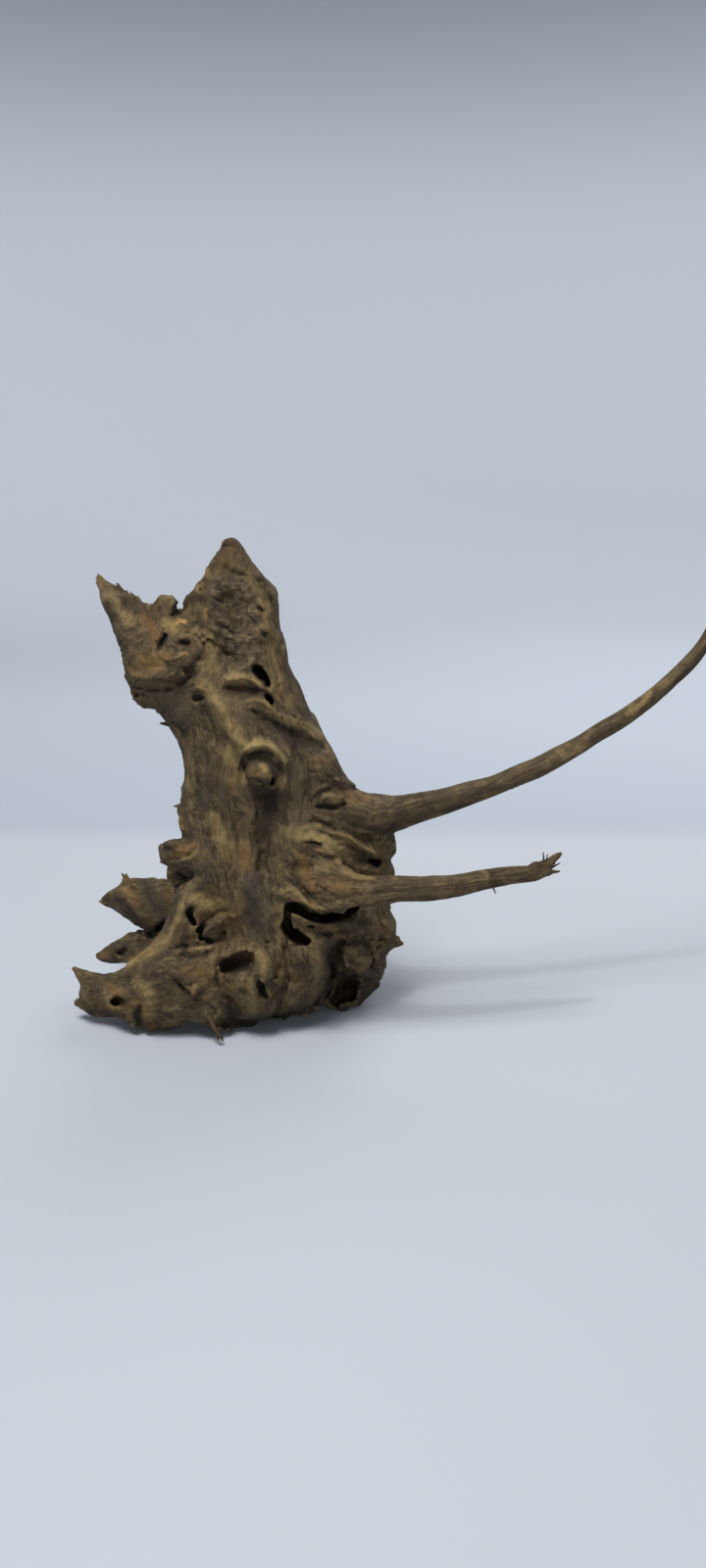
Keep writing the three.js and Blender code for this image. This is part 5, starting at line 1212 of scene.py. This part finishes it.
class Shader:
    """Short ways to add and join the nodes of one material."""

    def __init__(self, name):
        self.material = bpy.data.materials.new(name)
        self.material.use_nodes = True
        self.tree = self.material.node_tree
        self.nodes = self.tree.nodes
        self.surface = self.nodes["Principled BSDF"]

    def node(self, kind, **settings):
        made = self.nodes.new(kind)
        for name, value in settings.items():
            setattr(made, name, value)
        return made

    def join(self, source, target):
        self.tree.links.new(source, target)

    def feed(self, target, value):
        if isinstance(value, bpy.types.NodeSocket):
            self.join(value, target)
        else:
            target.default_value = value

    def math(self, operation, a, b=0.0):
        made = self.node("ShaderNodeMath", operation=operation)
        self.feed(made.inputs[0], a)
        self.feed(made.inputs[1], b)
        return made.outputs[0]

    def attribute(self, name):
        return self.node("ShaderNodeAttribute", attribute_name=name)

    def scaled(self, vector, scale):
        made = self.node("ShaderNodeVectorMath", operation="MULTIPLY")
        self.feed(made.inputs[0], vector)
        made.inputs[1].default_value = scale
        return made.outputs[0]

    def shift(self, vector, amount):
        made = self.node("ShaderNodeVectorMath", operation="ADD")
        self.feed(made.inputs[0], vector)
        made.inputs[1].default_value = (amount, amount, amount)
        return made.outputs[0]

    def add(self, vector, other):
        made = self.node("ShaderNodeVectorMath", operation="ADD")
        self.join(vector, made.inputs[0])
        self.join(other, made.inputs[1])
        return made.outputs[0]

    def times(self, vector, share):
        made = self.node("ShaderNodeVectorMath", operation="SCALE")
        self.join(vector, made.inputs[0])
        self.join(share, made.inputs["Scale"])
        return made.outputs[0]

    def noise(self, vector, scale, detail=2.0, rough=0.5, warp=0.0, output="Fac"):
        made = self.node("ShaderNodeTexNoise")
        self.join(vector, made.inputs["Vector"])
        made.inputs["Scale"].default_value = scale
        made.inputs["Detail"].default_value = detail
        made.inputs["Roughness"].default_value = rough
        made.inputs["Distortion"].default_value = warp
        return made.outputs[output]

    def span(self, value, low, high, to_low=0.0, to_high=1.0):
        made = self.node("ShaderNodeMapRange", interpolation_type="SMOOTHSTEP")
        self.feed(made.inputs["Value"], value)
        made.inputs["From Min"].default_value = low
        made.inputs["From Max"].default_value = high
        made.inputs["To Min"].default_value = to_low
        made.inputs["To Max"].default_value = to_high
        return made.outputs["Result"]

    def mix(self, share, a, b, blend="MIX"):
        made = self.node("ShaderNodeMix", data_type="RGBA", blend_type=blend)
        self.feed(made.inputs["Factor"], share)
        self.feed(made.inputs["A"], a)
        self.feed(made.inputs["B"], b)
        return made.outputs["Result"]

    def bump(self, height, distance, strength, before=None):
        made = self.node("ShaderNodeBump")
        made.inputs["Distance"].default_value = distance
        made.inputs["Strength"].default_value = strength
        self.join(height, made.inputs["Height"])
        if before is not None:
            self.join(before, made.inputs["Normal"])
        return made.outputs["Normal"]


def colour(red, green, blue):
    """A colour given as 0 to 255 screen values, in the linear values that shaders take."""
    def linear(value):
        value /= 255
        return value / 12.92 if value <= 0.04045 else ((value + 0.055) / 1.055) ** 2.4
    return (linear(red), linear(green), linear(blue), 1.0)


def wood_material():
    shader = Shader("weathered_wood")
    mask = {name: shader.attribute(name).outputs["Fac"] for name in LOOKS}
    place = shader.node("ShaderNodeTexCoord").outputs["Object"]

    grain = shader.attribute("grain").outputs["Vector"]
    for scale, reach in ((55.0, 5.0), (170.0, 2.4)):
        sway = shader.shift(shader.noise(place, scale, 2.0, 0.5, output="Color"), -0.5)
        sway = shader.scaled(sway, (reach, reach, reach))
        grain = shader.add(grain, shader.times(sway, mask["bent"]))
    slant = shader.node("ShaderNodeMapping")
    shader.join(place, slant.inputs["Vector"])
    slant.inputs["Rotation"].default_value = (0.0, math.radians(-35), 0.0)
    slant.inputs["Scale"].default_value = (0.35, 1.0, 1.0)

    broad = shader.noise(place, 16.0, 3.0, 0.6)
    streak = shader.noise(grain, 0.2, 5.0, 0.6, 0.4)
    fine = shader.noise(grain, 0.6, 4.0, 0.6, 0.2)
    blotch = shader.noise(place, 110.0, 4.0, 0.62, 0.4)
    speck = shader.noise(place, 420.0, 3.0, 0.6)
    crust = shader.noise(slant.outputs["Vector"], 300.0, 4.0, 0.6, 0.8)

    def layered(tone, layers):
        """Adds colours where a value lies towards the second of two limits, at most to a share."""
        for value, low, high, most, shade in layers:
            tone = shader.mix(shader.span(value, low, high, 0.0, most), tone, colour(*shade))
        return tone

    tone = shader.mix(shader.span(streak, 0.32, 0.66), colour(*WOOD_DARK), colour(*WOOD_MID))
    tone = layered(tone, (
        (fine, 0.46, 0.72, 0.5, WOOD_PALE), (fine, 0.5, 0.3, 0.5, WOOD_DARK),
        (blotch, 0.5, 0.72, 0.6, WOOD_PALE), (blotch, 0.5, 0.3, 0.5, WOOD_DARK),
        (broad, 0.5, 0.7, 0.55, (66, 56, 44)), (broad, 0.46, 0.3, 0.4, (112, 86, 48))))
    mottle = shader.math("ADD", shader.math("MULTIPLY", fine, 0.7), shader.math("MULTIPLY", streak, 0.7))
    # The tints, among them painted shade (the dark tint) and painted highlights (the gold and pale tints).
    for name, (least, shade) in TINT_SHADES.items():
        share = shader.math("MULTIPLY", mask[name], shader.span(mottle, 0.4, 0.95, least, 1.0))
        tone = shader.mix(share, tone, colour(*shade))
    # Painted shade darkens the hollows; worn edges turn pale, and specks come dark and light.
    tone = layered(tone, (
        (mask["hollow"], 0.3, 0.85, 0.92, (26, 22, 19)), (mask["worn"], 0.3, 0.55, 0.25, (158, 130, 84)),
        (speck, 0.58, 0.72, 0.5, (40, 31, 22)), (speck, 0.4, 0.28, 0.16, (140, 120, 88))))
    for low, high, shade in ((0.5, 0.66, (122, 104, 76)), (0.5, 0.34, (28, 23, 19))):
        share = shader.math("MULTIPLY", mask["crust"], shader.span(crust, low, high, 0.0, 0.8))
        tone = shader.mix(share, tone, colour(*shade))
    shader.join(tone, shader.surface.inputs["Base Color"])
    shader.surface.inputs["Roughness"].default_value = 0.8
    shader.surface.inputs["Specular IOR Level"].default_value = 0.25

    normal = None
    rough = shader.math("MULTIPLY", crust, mask["crust"])
    for height, distance, strength in (
            (streak, 0.0014, 0.5), (fine, 0.0009, 0.75), (speck, 0.0003, 0.5), (rough, 0.0014, 0.8)):
        normal = shader.bump(height, distance, strength, normal)
    shader.join(normal, shader.surface.inputs["Normal"])
    return shader.material


def add_stage():
    """A plain pale floor, round, that curves up into a wall on every side."""
    reach, bend, top, sides, steps = 2.0, 0.5, 4.0, 72, 10
    profile = [(0.7, 0.0), (1.4, 0.0), (reach, 0.0)]
    for step in range(1, steps + 1):
        turn = math.pi / 2 * step / steps
        profile.append((reach + bend * math.sin(turn), bend * (1 - math.cos(turn))))
    profile.append((reach + bend, top))
    points = [(0.0, 0.0, 0.0)]
    for out, height in profile:
        for side in range(sides):
            turn = 2 * math.pi * side / sides
            points.append((out * math.cos(turn), out * math.sin(turn), height))
    faces = [(0, 1 + side, 1 + (side + 1) % sides) for side in range(sides)]
    for ring in range(len(profile) - 1):
        for side in range(sides):
            a, b = 1 + ring * sides + side, 1 + ring * sides + (side + 1) % sides
            faces.append((a, a + sides, b + sides, b))
    stage = mesh_object("stage", points, faces)
    make_smooth(stage.data)
    stage.data.materials.append(stage_material())


def stage_material():
    """Pale and matt, bluer beyond the horizon, with a glow where the light is far off."""
    shader = Shader("pale_floor")
    place = shader.node("ShaderNodeTexCoord").outputs["Object"]
    apart = shader.node("ShaderNodeSeparateXYZ")
    shader.join(place, apart.inputs["Vector"])
    from_light = shader.node("ShaderNodeVectorMath", operation="DISTANCE")
    shader.join(place, from_light.inputs[0])
    from_light.inputs[1].default_value = (*LIGHT_PLACE[:2], 0.0)
    far = from_light.outputs["Value"]
    behind = shader.span(apart.outputs["Y"], 0.36, 0.44)
    beyond = shader.math("MAXIMUM", behind, shader.span(apart.outputs["Z"], 0.0, 0.4))
    tone = shader.mix(beyond, colour(176, 181, 187), colour(160, 168, 178))
    shader.join(tone, shader.surface.inputs["Base Color"])
    shader.surface.inputs["Roughness"].default_value = 0.9
    shader.surface.inputs["Emission Color"].default_value = colour(242, 245, 252)
    near, distant = shader.span(far, 0.5, 1.8, 0.0, 0.22), shader.span(far, 1.9, 3.2, 0.0, 0.13)
    low_down = shader.span(apart.outputs["Z"], 0.85, 1.6, 1.0, 0.2)
    glow = shader.math("MULTIPLY", shader.math("ADD", near, distant), low_down)
    shader.join(glow, shader.surface.inputs["Emission Strength"])
    return shader.material


def add_lights():
    world = bpy.data.worlds.new("soft_room")
    world.use_nodes = True
    back = world.node_tree.nodes["Background"]
    back.inputs["Color"].default_value = (0.86, 0.92, 1.0, 1)
    back.inputs["Strength"].default_value = 0.17
    bpy.context.scene.world = world
    for name, place, aim, size, power in (
            ("key", LIGHT_PLACE, (0.0, 0.0, 0.12), 0.7, 22.0),
            ("small_key", LIGHT_PLACE, (0.0, 0.0, 0.12), 0.12, 5.0),
            ("back_fill", (0.7, 1.4, 1.3), (0.1, 0.0, 0.1), 1.4, 14.0)):
        light = bpy.data.lights.new(name, "AREA")
        light.shape = "DISK"
        light.size = size
        light.energy = power
        thing = bpy.data.objects.new(name, light)
        bpy.context.scene.collection.objects.link(thing)
        thing.location = place
        aim_at(thing, aim)


def aim_at(thing, target):
    way = Vector(target) - Vector(thing.location)
    thing.rotation_euler = way.to_track_quat("-Z", "Y").to_euler()


def add_camera():
    """The photograph's own view: eye level above the wood, looking 15 degrees down."""
    data = bpy.data.cameras.new("camera")
    data.sensor_width = 36.0
    data.lens = data.sensor_width * FOCAL / TALL
    camera = bpy.data.objects.new("camera", data)
    bpy.context.scene.collection.objects.link(camera)
    camera.location = EYE * MM
    camera.rotation_euler = (math.pi / 2 - DOWN, 0, 0)
    bpy.context.scene.camera = camera


def main():
    add_camera()
    pieces = driftwood()
    wood = wood_material()
    for piece in pieces:
        piece.data.materials.append(wood)
        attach(piece, "root")
    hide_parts("driftwood")
    add_stage()
    add_lights()
    bpy.context.scene.view_settings.view_transform = "Standard"


main()
